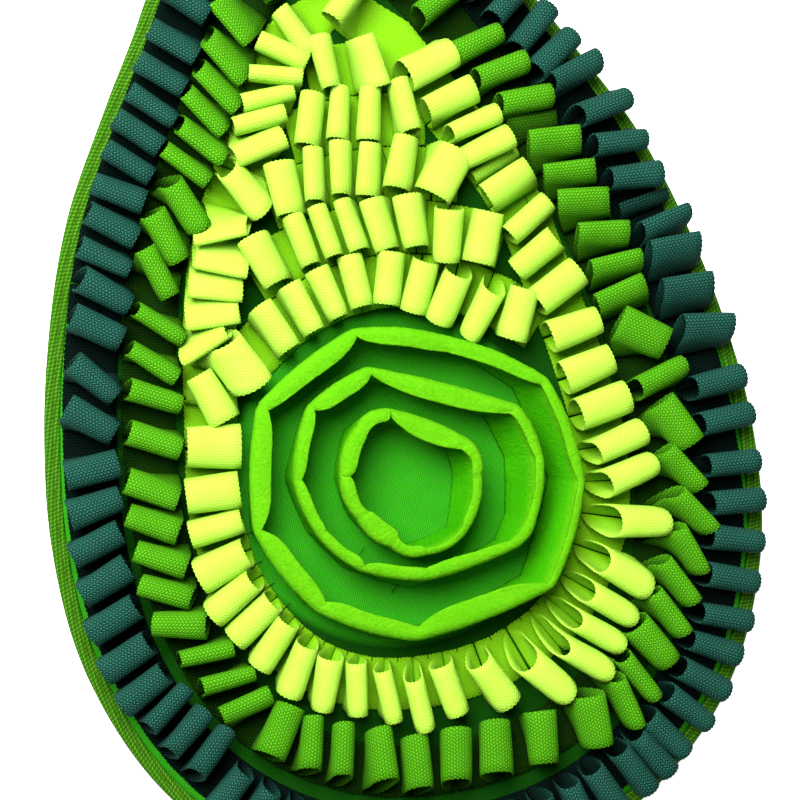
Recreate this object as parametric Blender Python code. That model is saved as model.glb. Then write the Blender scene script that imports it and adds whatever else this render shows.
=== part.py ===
"""A pear-shaped snuffle mat for a dog: a flat bound base cloth, rows of looped ribbon sewn on it,
and three standing felt rings in the middle. Z is up, +Y runs up the mat's narrow neck, and the
origin is under the middle of the mat. Run it with: blender --background --python part.py
"""

import math

import bmesh
import bpy
import numpy as np

MM = 0.001  # every size below is in millimetres, and make_piece turns it into metres

# Heights of the layers
BASE_THICK = 4.0
LEAF_THICK = 1.0
GAP = 0.3
BASE_RIM_LOW = LEAF_THICK + GAP
BASE_RIM_HIGH = BASE_THICK - LEAF_THICK - GAP
FLOOR = BASE_THICK + GAP

# The binding strip that is folded over the edge
BINDING_WIDE = 9.0
BINDING_CHAMFER = 0.8
BINDING_LENGTHS = 8
EDGE_STATIONS = 96

# The ribbon, 25 mm wide, and the height of its loops
RIBBON_WIDE = 24.4
RIBBON_THICK = 1.2
LOOP_TALL = 21.0
LOOP_TALL_SPREAD = 1.0
WAVES = ((2.4, 0.7, 0.6), (5.1, 2.0, 0.4))  # step, start, size

# The felt rings
FELT_THICK = 3.0
FELT_TALL = 24.0
ROSETTE_CENTRE = (-6.4, 1.1)

# The mat's edge, as a reach from the rosette's place. Bearing 90 is the tip of the neck, and the
# other side mirrors this one.
EDGE = (  # bearing, reach
    (-90.0, 196.0),
    (-70.0, 195.5),
    (-48.3, 190.5),
    (-22.7, 178.8),
    (0.0, 172.0),
    (17.4, 174.2),
    (32.7, 184.7),
    (46.7, 202.8),
    (61.0, 228.5),
    (67.8, 247.3),
    (72.5, 265.4),
    (76.6, 280.4),
    (80.9, 291.1),
    (85.4, 297.5),
    (90.0, 299.7),
)

# Each row of ribbon: where its line of stitching runs, how its loops are spaced, and how they lie.
# "inset" is the distance in from the mat's edge, by the bearing of the edge. A spacing row gives
# the bearing of a fold and how many loops lie before the next one. "out" is how far the top of a
# loop leans outwards, and "turn" how far it is turned anticlockwise, both by bearing.
DARK_ROW = {
    "inset": ((90, 19), (130, 19.5), (180, 22), (360, 22), (410, 19.5), (450, 19)),
    "spacing": (
        (106.5, 6), (127.0, 3), (140.8, 3), (163.9, 2), (178.0, 4), (205.0, 4), (225.8, 14),
        (299.4, 2), (306.8, 4), (327.9, 4), (354.8, 2), (371.5, 3), (391.6, 5), (417.2, 15),
    ),
    "out": ((90, 3), (100, 1.5), (115, 0), (180, 1), (225, 4), (270, 5), (330, 6), (360, 6), (400, 8),
            (425, 7), (450, 3)),
    "turn": ((90, 0), (106, -12), (125, -14), (140, -19), (150, -23), (159, -20), (170, 3),
             (180, 10), (205, 6), (225, 0), (300, 0), (360, 4), (420, 8), (450, 0)),
    "lengths": 9,
}
MID_ROW = {
    "inset": ((90, 44.5), (130, 44.5), (150, 47), (180, 51), (225, 54), (270, 56), (315, 54),
              (360, 50), (390, 47), (410, 44.5), (450, 44.5)),
    "spacing": (
        (98.0, 5), (113.0, 3), (127.6, 2), (141.6, 2), (155.6, 1), (165.9, 3), (190.4, 4),
        (220.2, 2), (235.5, 3), (255.9, 3), (281.6, 2), (300.3, 4), (324.9, 3), (347.0, 2),
        (366.0, 2), (385.4, 2), (397.5, 3), (413.5, 3), (426.8, 8),
    ),
    "out": ((90, 2.5), (99, 0.3), (180, 0), (225, 3), (270, 5.5), (300, 7.5), (340, 9.3), (380, 8),
            (420, 6.5), (450, 2.5)),
    "turn": ((90, 0), (98, -12), (113, -14), (120, -18), (145, -18), (190, -16), (225, 4),
             (270, 0), (300, 0), (340, -14), (375, -6), (410, 6), (450, 0)),
    "lengths": 8,
}
PALE_ROW = {
    "inset": ((90, 69.8), (128, 70.2), (147, 75), (162, 78), (180, 78), (225, 91), (270, 99),
              (315, 92), (345, 80), (360, 77), (380, 76), (393, 74.5), (408, 70.2), (450, 69.8)),
    "spacing": (
        (96.0, 5), (107.0, 2), (116.5, 3), (128.5, 2), (142.0, 2), (167.5, 3), (198.0, 4),
        (232.0, 3), (257.0, 2), (275.8, 2), (298.5, 2), (313.5, 2), (334.5, 2), (354.5, 2),
        (375.5, 2), (399.0, 2), (413.5, 3), (427.0, 3), (436.0, 3),
    ),
    "out": ((90, 2), (96, 0), (180, -1), (215, 4), (270, 9), (310, 11.5), (345, 11.5), (380, 8),
            (395, 7), (420, 6), (450, 2)),
    "turn": ((90, 0), (97, -6), (112, -4), (130, 4), (160, 0), (200, -4), (260, 0), (300, -10),
             (330, -12), (350, 0), (380, 8), (410, 12), (430, 8), (450, 0)),
    "lengths": 8,
}

# The short rows that fill the neck, as arcs round the rosette
NECK_ROWS = (  # reach, first bearing, last bearing, loops
    (95.5, 43.5, 129.5, 9),
    (121.0, 61.5, 115.8, 8),
    (146.5, 73.3, 105.3, 6),
    (172.0, 79.9, 98.0, 4),
    (197.5, 86.3, 93.0, 2),
)
NECK_OUT = ((45, 3), (90, 1), (135, 0))
NECK_TURN = ((45, 8), (90, 0), (135, -6))
NECK_LEAN = 0.35

# One loop from the side, from where it rises to where it is sewn down again. Each row gives the
# way along the row in pitches and the height in loop heights, for a loop that stands upright and
# for one that leans over its neighbour.
LOOP_SECTION = (  # upright along, upright high, leaning along, leaning high
    (0.09, 0.00, 0.09, 0.00),
    (0.12, 0.60, 0.27, 0.60),
    (0.33, 0.97, 0.58, 0.92),
    (0.67, 0.97, 0.92, 1.00),
    (0.88, 0.60, 1.04, 0.72),
    (0.89, 0.00, 0.86, 0.00),
)
FOLD_REACH = 0.05

# The felt rings. "sides" has a row for each corner: its bearing, how far out its top stands, and
# how wide the top of the side that follows is curled inwards.
FELT_RINGS = (
    {
        "name": "felt_ring_outer",
        "foot": 72.5,
        "sides": (
            (100.0, 76.0, 9), (143.5, 77.5, 10), (189.5, 76.5, 10), (225.0, 70.5, 13),
            (260.5, 73.0, 12), (313.0, 80.5, 3), (352.0, 80.5, 0), (391.0, 77.5, 3),
            (430.0, 66.0, 8),
        ),
    },
    {
        "name": "felt_ring_middle",
        "foot": 53.5,
        "sides": (
            (101.0, 54.5, 9), (138.5, 58.0, 6), (170.5, 55.5, 6), (212.0, 51.0, 7),
            (235.5, 45.5, 8), (267.5, 44.0, 6), (322.5, 59.0, 2), (359.5, 60.5, 0),
            (386.5, 57.0, 7),
        ),
    },
    {
        "name": "felt_ring_inner",
        "foot": 32.0,
        "sides": (
            (96.0, 34.5, 6), (162.0, 34.5, 5), (256.0, 31.0, 7), (303.5, 32.0, 2),
            (359.0, 31.0, 2), (390.5, 31.5, 5),
        ),
    },
)
FELT_SIDE_STEPS = 4
FELT_SIDE_BULGE = 0.03
FELT_SECTION = (  # share of the way out to the top, of the height, of the curl, of the tip over
    (0.00, 0.00, 0.00, 0.0),
    (0.55, 0.55, 0.00, 0.0),
    (1.00, 0.88, 0.10, 0.6),
    (1.00, 1.00, 0.95, 1.0),
)

COLOURS = {  # base colour, roughness
    "base_cloth": ((0.03, 0.46, 0.04), 0.85),
    "binding_cloth": ((0.26, 0.56, 0.03), 0.8),
    "dark_ribbon": ((0.005, 0.09, 0.07), 0.8),
    "mid_ribbon": ((0.12, 0.46, 0.02), 0.8),
    "pale_ribbon": ((0.72, 0.92, 0.06), 0.8),
    "felt": ((0.1, 0.8, 0.01), 0.95),
}


def smooth_curve(table, at):
    """Reads a table of (place, value) rows as one smooth curve."""
    places = np.array([row[0] for row in table], float)
    values = np.array([row[1] for row in table], float)
    slopes = np.gradient(values, places)
    at = np.clip(at, places[0], places[-1])
    i = np.clip(np.searchsorted(places, at, side="right") - 1, 0, len(places) - 2)
    step = places[i + 1] - places[i]
    t = (at - places[i]) / step
    return (
        (2 * t**3 - 3 * t**2 + 1) * values[i]
        + (t**3 - 2 * t**2 + t) * step * slopes[i]
        + (3 * t**2 - 2 * t**3) * values[i + 1]
        + (t**3 - t**2) * step * slopes[i + 1]
    )


def whole_edge():
    """The edge table for more than a full turn, so that it is smooth where its ends meet."""
    turn = list(EDGE) + [(180 - bearing, reach) for bearing, reach in EDGE[-2:0:-1]]
    return [(bearing + around, reach) for around in (-360, 0, 360) for bearing, reach in turn]


EDGE_TABLE = whole_edge()
FULL_TURN = np.linspace(90, 450, 1441)
SMALL_TURN = 0.2


def at_bearing(bearing, reach):
    angle = np.radians(bearing)
    return np.stack([reach * np.cos(angle), reach * np.sin(angle)], axis=-1)


def edge_at(bearing):
    """The point on the mat's edge at a bearing, and the way out of the mat there."""
    bearing = np.asarray(bearing, float)

    def point(b):
        return at_bearing(b, smooth_curve(EDGE_TABLE, b % 360))

    along = point(bearing + SMALL_TURN) - point(bearing - SMALL_TURN)
    along /= np.linalg.norm(along, axis=-1, keepdims=True)
    return point(bearing), np.stack([along[..., 1], -along[..., 0]], axis=-1)


def inset_points(inset, bearings):
    """Where the line that runs a tabled distance in from the mat's edge meets each bearing."""
    points, outward = edge_at(FULL_TURN)
    line = points - outward * smooth_curve(inset, FULL_TURN)[:, None]
    reach = np.hypot(line[:, 0], line[:, 1])
    found = np.unwrap(np.arctan2(line[:, 1], line[:, 0]))
    at = np.radians((bearings - 90) % 360 + 90)
    return at_bearing(bearings, np.interp(at, found, reach))


def edge_frames(stations):
    """Evenly spread points on the mat's edge, and the way out of the mat at each."""
    fine, _ = edge_at(FULL_TURN)
    run = np.concatenate([[0], np.cumsum(np.hypot(*np.diff(fine, axis=0).T))])
    return edge_at(np.interp(np.linspace(0, run[-1], stations + 1)[:-1], run, FULL_TURN))


def make_material(name):
    colour, roughness = COLOURS[name]
    material = bpy.data.materials.new(name)
    material.use_nodes = True
    shader = material.node_tree.nodes["Principled BSDF"]
    shader.inputs["Base Color"].default_value = (*colour, 1)
    shader.inputs["Roughness"].default_value = roughness
    shader.inputs["Metallic"].default_value = 0
    return material


def make_piece(name, points, faces, material, parent):
    """A mesh object from points in millimetres, as seen from the middle of the mat."""
    mesh = bpy.data.meshes.new(name)
    mesh.from_pydata([tuple(p) for p in np.asarray(points, float) * MM], [], faces)
    shell = bmesh.new()
    shell.from_mesh(mesh)
    bmesh.ops.recalc_face_normals(shell, faces=shell.faces)
    shell.to_mesh(mesh)
    shell.free()
    mesh.materials.append(material)
    piece = bpy.data.objects.new(name, mesh)
    bpy.context.scene.collection.objects.link(piece)
    piece.parent = parent
    return piece


def strip_faces(sections, corners, closed):
    """Faces that join one section of a strip to the next, with its ends capped unless it is closed.

    Both sides of the strip are split along matching diagonals, so a twisted stretch keeps its
    thickness."""
    faces = []
    for s in range(sections if closed else sections - 1):
        here = s * corners
        there = (s + 1) % sections * corners
        for c in range(corners):
            d = (c + 1) % corners
            if c < corners // 2:
                faces += [(here + c, here + d, there + c), (here + d, there + d, there + c)]
            else:
                faces += [(here + c, here + d, there + d), (here + c, there + d, there + c)]
    if not closed:
        faces.append(tuple(range(corners))[::-1])
        last = (sections - 1) * corners
        faces.append(tuple(range(last, last + corners)))
    return faces


def wave(seed):
    """A repeatable unevenness from -1 to 1."""
    return sum(size * math.sin(seed * step + start) for step, start, size in WAVES)


def fold_bearings(spacing):
    """The bearing of each fold of a closed row, from its spacing table."""
    ends = list(spacing[1:]) + [(spacing[0][0] + 360, 0)]
    bearings = []
    for (bearing, loops), (following, _) in zip(spacing, ends):
        bearings += [bearing + (following - bearing) * i / loops for i in range(loops)]
    return bearings + [ends[-1][0]]


def section_with_thickness(pitch, tall, lean):
    """The two sides of a loop's ribbon in the plane along the row, as (along, up) pairs."""
    table = np.array(LOOP_SECTION)
    middle = table[:, 0:2] * (1 - lean) + table[:, 2:4] * lean
    middle = middle * (pitch, tall)
    before = (-FOLD_REACH * pitch, 0)
    after = ((1 + FOLD_REACH) * pitch, 0)
    line = np.vstack([before, middle, after])
    runs = np.diff(line, axis=0)
    runs /= np.linalg.norm(runs, axis=1)[:, None]
    normals = np.stack([-runs[:, 1], runs[:, 0]], axis=1)
    mitre = normals[:-1] + normals[1:]
    mitre /= (mitre * normals[1:]).sum(axis=1)[:, None]
    half = RIBBON_THICK / 2
    return middle + mitre * half, middle - mitre * half


def place_loop(ends, outwards, spot, across, tall, out, turn):
    """Carries a point of a loop's section to its place between the loop's two folds."""
    pitch = np.hypot(*(ends[1] - ends[0]))
    along = (ends[1] - ends[0]) / pitch
    outward = np.array([along[1], -along[0]])
    share = max(spot[1], 0) / tall
    first, last = ends + outwards * across
    ahead = across * math.tan(math.radians(turn)) * share
    flat = first + (last - first) * spot[0] / pitch + along * ahead + outward * out * share
    return (*flat, FLOOR + RIBBON_THICK / 2 + spot[1])


def fold_directions(points):
    """The way out of the mat at each point of a row that runs anticlockwise."""
    along = np.gradient(points, axis=0)
    along /= np.linalg.norm(along, axis=1)[:, None]
    return np.stack([along[:, 1], -along[:, 0]], axis=1)


def cut_end(fold, outward, side):
    """The four corners where a length of ribbon is cut, just short of the fold."""
    ahead = np.array([-outward[1], outward[0]]) * side * GAP / 2
    wide, thick = RIBBON_WIDE / 2, RIBBON_THICK
    return [
        (*(fold + ahead + outward * across), FLOOR + up)
        for across, up in ((wide, thick), (-wide, thick), (-wide, 0), (wide, 0))
    ]


def ribbon_length(folds, outwards, lean, outs, turns, seed):
    """One length of looped ribbon through the given folds, as points and faces."""
    half_wide = RIBBON_WIDE / 2
    points = cut_end(folds[0], outwards[0], 1)
    for i in range(len(folds) - 1):
        ends = folds[i:i + 2]
        tall = LOOP_TALL + LOOP_TALL_SPREAD * wave(seed + i)
        upper, lower = section_with_thickness(np.hypot(*(ends[1] - ends[0])), tall, lean)
        for high, low in zip(upper, lower):
            ring = ((high, half_wide), (high, -half_wide), (low, -half_wide), (low, half_wide))
            points += [
                place_loop(ends, outwards[i:i + 2], spot, across, tall, outs[i], turns[i])
                for spot, across in ring
            ]
    points += cut_end(folds[-1], outwards[-1], -1)
    return points, strip_faces(len(points) // 4, 4, False)


def closed_row(name, row, material, parent):
    """A row of loops that runs right round the mat, in several lengths."""
    bearings = np.array(fold_bearings(row["spacing"]))
    folds = inset_points(row["inset"], bearings)
    outwards = fold_directions(np.vstack([folds[-2], folds, folds[1]]))[1:-1]
    middles = ((bearings[:-1] + bearings[1:]) / 2 - 90) % 360 + 90
    outs = smooth_curve(row["out"], middles)
    turns = smooth_curve(row["turn"], middles)
    cuts = np.linspace(0, len(bearings) - 1, row["lengths"] + 1).round().astype(int)
    for n, (first, end) in enumerate(zip(cuts[:-1], cuts[1:])):
        part, loops = slice(first, end + 1), slice(first, end)
        points, faces = ribbon_length(folds[part], outwards[part], 1, outs[loops], turns[loops], first)
        make_piece(f"{name}_{n + 1}", points, faces, material, parent)


def neck_row(name, arc, material, parent):
    """A short row of loops that is an arc across the neck."""
    reach, first, last, loops = arc
    bearings = np.linspace(first, last, loops + 1)
    middles = (bearings[:-1] + bearings[1:]) / 2
    outs = smooth_curve(NECK_OUT, middles)
    turns = smooth_curve(NECK_TURN, middles)
    folds = at_bearing(bearings, reach)
    points, faces = ribbon_length(folds, fold_directions(folds), NECK_LEAN, outs, turns, reach)
    make_piece(name, points, faces, material, parent)


def make_base(material, parent):
    """The base cloth: full thickness inside, pressed thin where the binding folds over it."""
    points, outward = edge_frames(EDGE_STATIONS)
    step = BINDING_WIDE + GAP
    rings = (  # distance in from the edge, height
        (step, 0.0),
        (step, BASE_RIM_LOW),
        (LEAF_THICK + GAP, BASE_RIM_LOW),
        (LEAF_THICK + GAP, BASE_RIM_HIGH),
        (step, BASE_RIM_HIGH),
        (step, BASE_THICK),
    )
    corners = []
    for point, out in zip(points, outward):
        corners += [(*(point - out * inset), height) for inset, height in rings]
    count = len(rings)
    faces = []
    for s in range(EDGE_STATIONS):
        t = (s + 1) % EDGE_STATIONS
        for r in range(count - 1):
            faces.append((s * count + r, t * count + r, t * count + r + 1, s * count + r + 1))
    faces.append(tuple(s * count for s in range(EDGE_STATIONS))[::-1])
    faces.append(tuple(s * count + count - 1 for s in range(EDGE_STATIONS)))
    make_piece("base_cloth", corners, faces, material, parent)


def make_binding(material, parent):
    """The folded strip round the edge, in lengths that each cover part of it."""
    each = EDGE_STATIONS // BINDING_LENGTHS
    points, outward = edge_frames(EDGE_STATIONS)
    section = (  # distance in from the edge, height
        (BINDING_WIDE, BASE_THICK),
        (BINDING_CHAMFER, BASE_THICK),
        (0.0, BASE_THICK - BINDING_CHAMFER),
        (0.0, BINDING_CHAMFER),
        (BINDING_CHAMFER, 0.0),
        (BINDING_WIDE, 0.0),
        (BINDING_WIDE, LEAF_THICK),
        (LEAF_THICK, LEAF_THICK),
        (LEAF_THICK, BASE_THICK - LEAF_THICK),
        (BINDING_WIDE, BASE_THICK - LEAF_THICK),
    )
    for n in range(BINDING_LENGTHS):
        corners = []
        for s in range(each + 1):
            station = (n * each + s) % EDGE_STATIONS
            point, out = points[station], outward[station]
            ahead = np.array([-out[1], out[0]])
            nudge = GAP / 2 * ((s == 0) - (s == each))
            corners += [(*(point - out * inset + ahead * nudge), height) for inset, height in section]
        faces = strip_faces(each + 1, len(section), False)
        make_piece(f"edge_binding_{n + 1}", corners, faces, material, parent)


def make_felt_ring(ring, material, parent):
    """A standing ring of felt with straight sides between its tacked corners."""
    sides = ring["sides"]
    following = sides[1:] + ((sides[0][0] + 360, *sides[0][1:]),)
    half = FELT_THICK / 2
    corners = []
    for (bearing, top, curl), (next_bearing, next_top, _) in zip(sides, following):
        here, there = at_bearing(bearing, top), at_bearing(next_bearing, next_top)
        for share in np.arange(FELT_SIDE_STEPS) / FELT_SIDE_STEPS:
            bulge = math.sin(math.pi * share)
            edge = (here + (there - here) * share) * (1 + FELT_SIDE_BULGE * bulge)
            inward = -edge / np.hypot(*edge)
            foot_bearing = bearing + (next_bearing - bearing) * share
            foot = np.array(ROSETTE_CENTRE) + at_bearing(foot_bearing, ring["foot"])
            outer, inner = [], []
            for out, up, curled, tipped in FELT_SECTION:
                spot = foot + (edge - foot) * out + inward * curl * curled * bulge
                height = FLOOR + FELT_TALL * up
                tip = half * tipped * bulge
                outer.append((*(spot - inward * half), height + tip))
                inner.append((*(spot + inward * half), height - tip))
            corners += outer + inner[::-1]
    faces = strip_faces(len(sides) * FELT_SIDE_STEPS, 2 * len(FELT_SECTION), True)
    make_piece(ring["name"], corners, faces, material, parent)


def main():
    for leftover in list(bpy.data.objects):
        bpy.data.objects.remove(leftover)
    middle_y = (EDGE[-1][1] - EDGE[0][1]) / 2
    mat = bpy.data.objects.new("mat", None)
    mat.location = (0, -middle_y * MM, 0)
    bpy.context.scene.collection.objects.link(mat)
    finishes = {name: make_material(name) for name in COLOURS}
    make_base(finishes["base_cloth"], mat)
    make_binding(finishes["binding_cloth"], mat)
    closed_row("dark_ribbon", DARK_ROW, finishes["dark_ribbon"], mat)
    closed_row("mid_ribbon", MID_ROW, finishes["mid_ribbon"], mat)
    closed_row("pale_ribbon", PALE_ROW, finishes["pale_ribbon"], mat)
    for n, arc in enumerate(NECK_ROWS):
        neck_row(f"neck_ribbon_{n + 1}", arc, finishes["pale_ribbon"], mat)
    for ring in FELT_RINGS:
        make_felt_ring(ring, finishes["felt"], mat)


main()
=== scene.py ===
# %% [markdown]
# # A pear-shaped snuffle mat
# A snuffle mat is a flat bound cloth with rows of looped ribbon sewn on it, and here also three
# standing rings of felt. Dry food is hidden between the loops, and a dog finds it by nose.
# This lesson dresses the finished model of the mat: it keeps every size of that model, and swaps
# its plain solids for woven ribbon, needled felt and stitched cloth.

import math

import bpy
import numpy as np
from mathutils import Matrix, Vector


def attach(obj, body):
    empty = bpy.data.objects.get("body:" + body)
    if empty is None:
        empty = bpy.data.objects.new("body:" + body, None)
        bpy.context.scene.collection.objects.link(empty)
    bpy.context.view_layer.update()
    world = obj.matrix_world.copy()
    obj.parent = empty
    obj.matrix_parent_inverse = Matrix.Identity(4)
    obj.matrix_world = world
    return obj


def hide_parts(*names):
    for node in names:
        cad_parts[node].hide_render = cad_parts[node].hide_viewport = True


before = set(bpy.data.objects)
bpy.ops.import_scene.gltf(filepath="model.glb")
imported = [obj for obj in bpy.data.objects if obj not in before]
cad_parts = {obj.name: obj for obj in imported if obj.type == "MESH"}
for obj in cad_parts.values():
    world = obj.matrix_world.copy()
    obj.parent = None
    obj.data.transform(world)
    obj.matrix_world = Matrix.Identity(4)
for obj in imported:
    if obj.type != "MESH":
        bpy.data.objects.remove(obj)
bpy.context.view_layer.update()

# %% [markdown]
# ## Where things lie
# All lengths here are in millimetres, from a point in the middle of the felt rings, and one
# helper turns them into metres. The edge of the mat is a short table of bearings and reaches. It
# is mirrored left to right and read through a smooth curve, so the few numbers give a fair line.

# %% Units and the edge of the mat
MM = 0.001
MIDDLE_Y = 51.85  # how far up the mat the middle of its box lies from the point that lengths start at
BASE_THICK = 4.0

EDGE = (  # bearing, reach
    (-90.0, 196.0),
    (-70.0, 195.5),
    (-48.3, 190.5),
    (-22.7, 178.8),
    (0.0, 172.0),
    (17.4, 174.2),
    (32.7, 184.7),
    (46.7, 202.8),
    (61.0, 228.5),
    (67.8, 247.3),
    (72.5, 265.4),
    (76.6, 280.4),
    (80.9, 291.1),
    (85.4, 297.5),
    (90.0, 299.7),
)
print("the edge table has", len(EDGE), "rows")

# %% [markdown]
# A row of stitching runs a little way inside the edge. So the helpers here give the edge at any
# bearing, the way out of the mat there, and the line that lies a given distance further in.

# %% Lines that follow the edge
def smooth_curve(table, at):
    """Reads a table of (place, value) rows as one smooth curve."""
    places = np.array([row[0] for row in table], float)
    values = np.array([row[1] for row in table], float)
    slopes = np.gradient(values, places)
    at = np.clip(at, places[0], places[-1])
    i = np.clip(np.searchsorted(places, at, side="right") - 1, 0, len(places) - 2)
    step = places[i + 1] - places[i]
    t = (at - places[i]) / step
    return (
        (2 * t**3 - 3 * t**2 + 1) * values[i]
        + (t**3 - 2 * t**2 + t) * step * slopes[i]
        + (3 * t**2 - 2 * t**3) * values[i + 1]
        + (t**3 - t**2) * step * slopes[i + 1]
    )


def whole_edge():
    """The edge table for more than a full turn, so that it is smooth where its ends meet."""
    turn = list(EDGE) + [(180 - bearing, reach) for bearing, reach in EDGE[-2:0:-1]]
    return [(bearing + around, reach) for around in (-360, 0, 360) for bearing, reach in turn]


EDGE_TABLE = whole_edge()
FULL_TURN = np.linspace(90, 450, 1441)
SMALL_TURN = 0.2


def at_bearing(bearing, reach):
    """The point that lies this far out at this bearing."""
    angle = np.radians(bearing)
    return np.stack([reach * np.cos(angle), reach * np.sin(angle)], axis=-1)


def edge_at(bearing):
    """The point on the mat's edge at a bearing, and the way out of the mat there."""
    bearing = np.asarray(bearing, float)

    def point(b):
        return at_bearing(b, smooth_curve(EDGE_TABLE, b % 360))

    along = point(bearing + SMALL_TURN) - point(bearing - SMALL_TURN)
    along /= np.linalg.norm(along, axis=-1, keepdims=True)
    return point(bearing), np.stack([along[..., 1], -along[..., 0]], axis=-1)


def inset_points(inset, bearings):
    """Where the line that runs a tabled distance in from the mat's edge meets each bearing."""
    points, outward = edge_at(FULL_TURN)
    line = points - outward * smooth_curve(inset, FULL_TURN)[:, None]
    reach = np.hypot(line[:, 0], line[:, 1])
    found = np.unwrap(np.arctan2(line[:, 1], line[:, 0]))
    at = np.radians((bearings - 90) % 360 + 90)
    return at_bearing(bearings, np.interp(at, found, reach))


def edge_frames(stations):
    """Evenly spread points on the mat's edge, the way out at each, and how far round each is."""
    fine, _ = edge_at(FULL_TURN)
    run = np.concatenate([[0], np.cumsum(np.hypot(*np.diff(fine, axis=0).T))])
    round_to = np.linspace(0, run[-1], stations + 1)[:-1]
    bearings = np.interp(round_to, run, FULL_TURN)
    return *edge_at(bearings), round_to, run[-1]


print("way round the edge:", round(edge_frames(8)[3]), "mm")

# %% [markdown]
# ## Things made by hand are uneven
# No two loops of a real mat are the same. Random numbers give that, but a lesson has to come out
# the same each time it is run, so each piece has a generator of its own with a fixed seed.

# %% Unevenness that comes out the same each time
def repeatable(seed):
    """A generator that gives the same numbers each time."""
    return np.random.default_rng(seed)


def smooth_noise(rng, count, wavelength):
    """A closed uneven line of values of about -1 to 1 that changes over a number of stations."""
    knots = max(4, int(round(count / wavelength)))
    values = rng.uniform(-1, 1, knots)
    values = np.concatenate([values[-1:], values, values[:2]])
    at = np.arange(count) / count * knots
    i = at.astype(int)
    t = (1 - np.cos((at - i) * math.pi)) / 2
    return values[i + 1] * (1 - t) + values[i + 2] * t


print("an uneven line:", smooth_noise(repeatable(1), 8, 2).round(2))

# %% [markdown]
# ## A few helpers for meshes
# Every soft piece of this mat is a strip: a row of ribbon, the binding, a felt ring. A plane with
# modifiers could give one such strip, but none of these keeps one width, height or curl all along.
# So a mesh is made from a grid of points, one ring of points for each station along the strip. It
# also gets a UV map in real metres, because a weave has to follow the ribbon and not the room.

# %% Strips, cloth thickness and finishing a piece
def new_piece(name, points, faces, finish, uv_corners=None):
    """A smooth-shaded mesh object from points in millimetres, in the mat's own frame."""
    mesh = bpy.data.meshes.new(name)
    placed = (np.asarray(points, float).reshape(-1, 3) - (0, MIDDLE_Y, 0)) * MM
    mesh.from_pydata(placed.tolist(), [], [tuple(int(c) for c in f) for f in faces])
    if uv_corners is not None:
        layer = mesh.uv_layers.new(name="cloth")
        layer.data.foreach_set("uv", np.asarray(uv_corners, np.float32).ravel())
    mesh.materials.append(finish)
    mesh.shade_smooth()
    mesh.update()
    piece = bpy.data.objects.new(name, mesh)
    bpy.context.scene.collection.objects.link(piece)
    return piece


def tube_faces(sections, corners, closed):
    """Quads that join each ring of corners to the next, and where each corner of a quad lies."""
    s = np.repeat(np.arange(sections if closed else sections - 1), corners)
    c = np.tile(np.arange(corners), sections if closed else sections - 1)
    d = (c + 1) % corners
    t = (s + 1) % sections
    quads = np.stack([s * corners + c, s * corners + d, t * corners + d, t * corners + c], axis=1)
    return quads, s, c


def distances_along(points):
    """How far along a line of points each of them lies."""
    return np.concatenate([[0], np.cumsum(np.linalg.norm(np.diff(points, axis=0), axis=1))])


def points_at(line, run, at):
    """The points of a line at these distances along it."""
    return np.stack([np.interp(at, run, line[:, k]) for k in range(line.shape[1])], axis=1)


def eased(line):
    """The same line with each inner point drawn towards its neighbours."""
    line = line.copy()
    line[1:-1] = (line[:-2] + 2 * line[1:-1] + line[2:]) / 4
    return line


def strip_uv(run, place, s, c):
    """The UV corners of the quads of a tube, from the way along it and the way round it."""
    u0, u1 = run[s], run[s + 1]
    v0, v1 = place[c], place[c + 1]
    corners = ((u0, v0), (u0, v1), (u1, v1), (u1, v0))
    return np.stack([np.stack(corner, axis=1) for corner in corners], axis=1)


def both_sides(grid, half_thick, rim):
    """Gives a sheet its thickness: each station becomes a ring round the top and the underside."""
    along = np.gradient(grid, axis=0)
    across = np.gradient(grid, axis=1)
    normal = np.cross(along, across)
    normal /= np.linalg.norm(normal, axis=2, keepdims=True)
    half = half_thick[None, :, None]
    upper, lower = grid + normal * half, grid - normal * half
    side = across / np.linalg.norm(across, axis=2, keepdims=True)
    near = grid[:, :1] - side[:, :1] * rim
    far = grid[:, -1:] + side[:, -1:] * rim
    return np.concatenate([upper, far, lower[:, ::-1], near], axis=1)


print("a square is", distances_along(np.array([(0, 0), (1, 0), (1, 1), (0, 1), (0, 0)]))[-1], "round")

# %% [markdown]
# ## How the rows of ribbon run
# A row is one long ribbon that is sewn down, lifted into a loop, and sewn down again. The tables
# say where its line of stitching runs, how the loops are spaced, how far each leans outwards and
# how far it is turned. They are the same tables as the model's, so that each woven row follows
# the solids it takes the place of.

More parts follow.
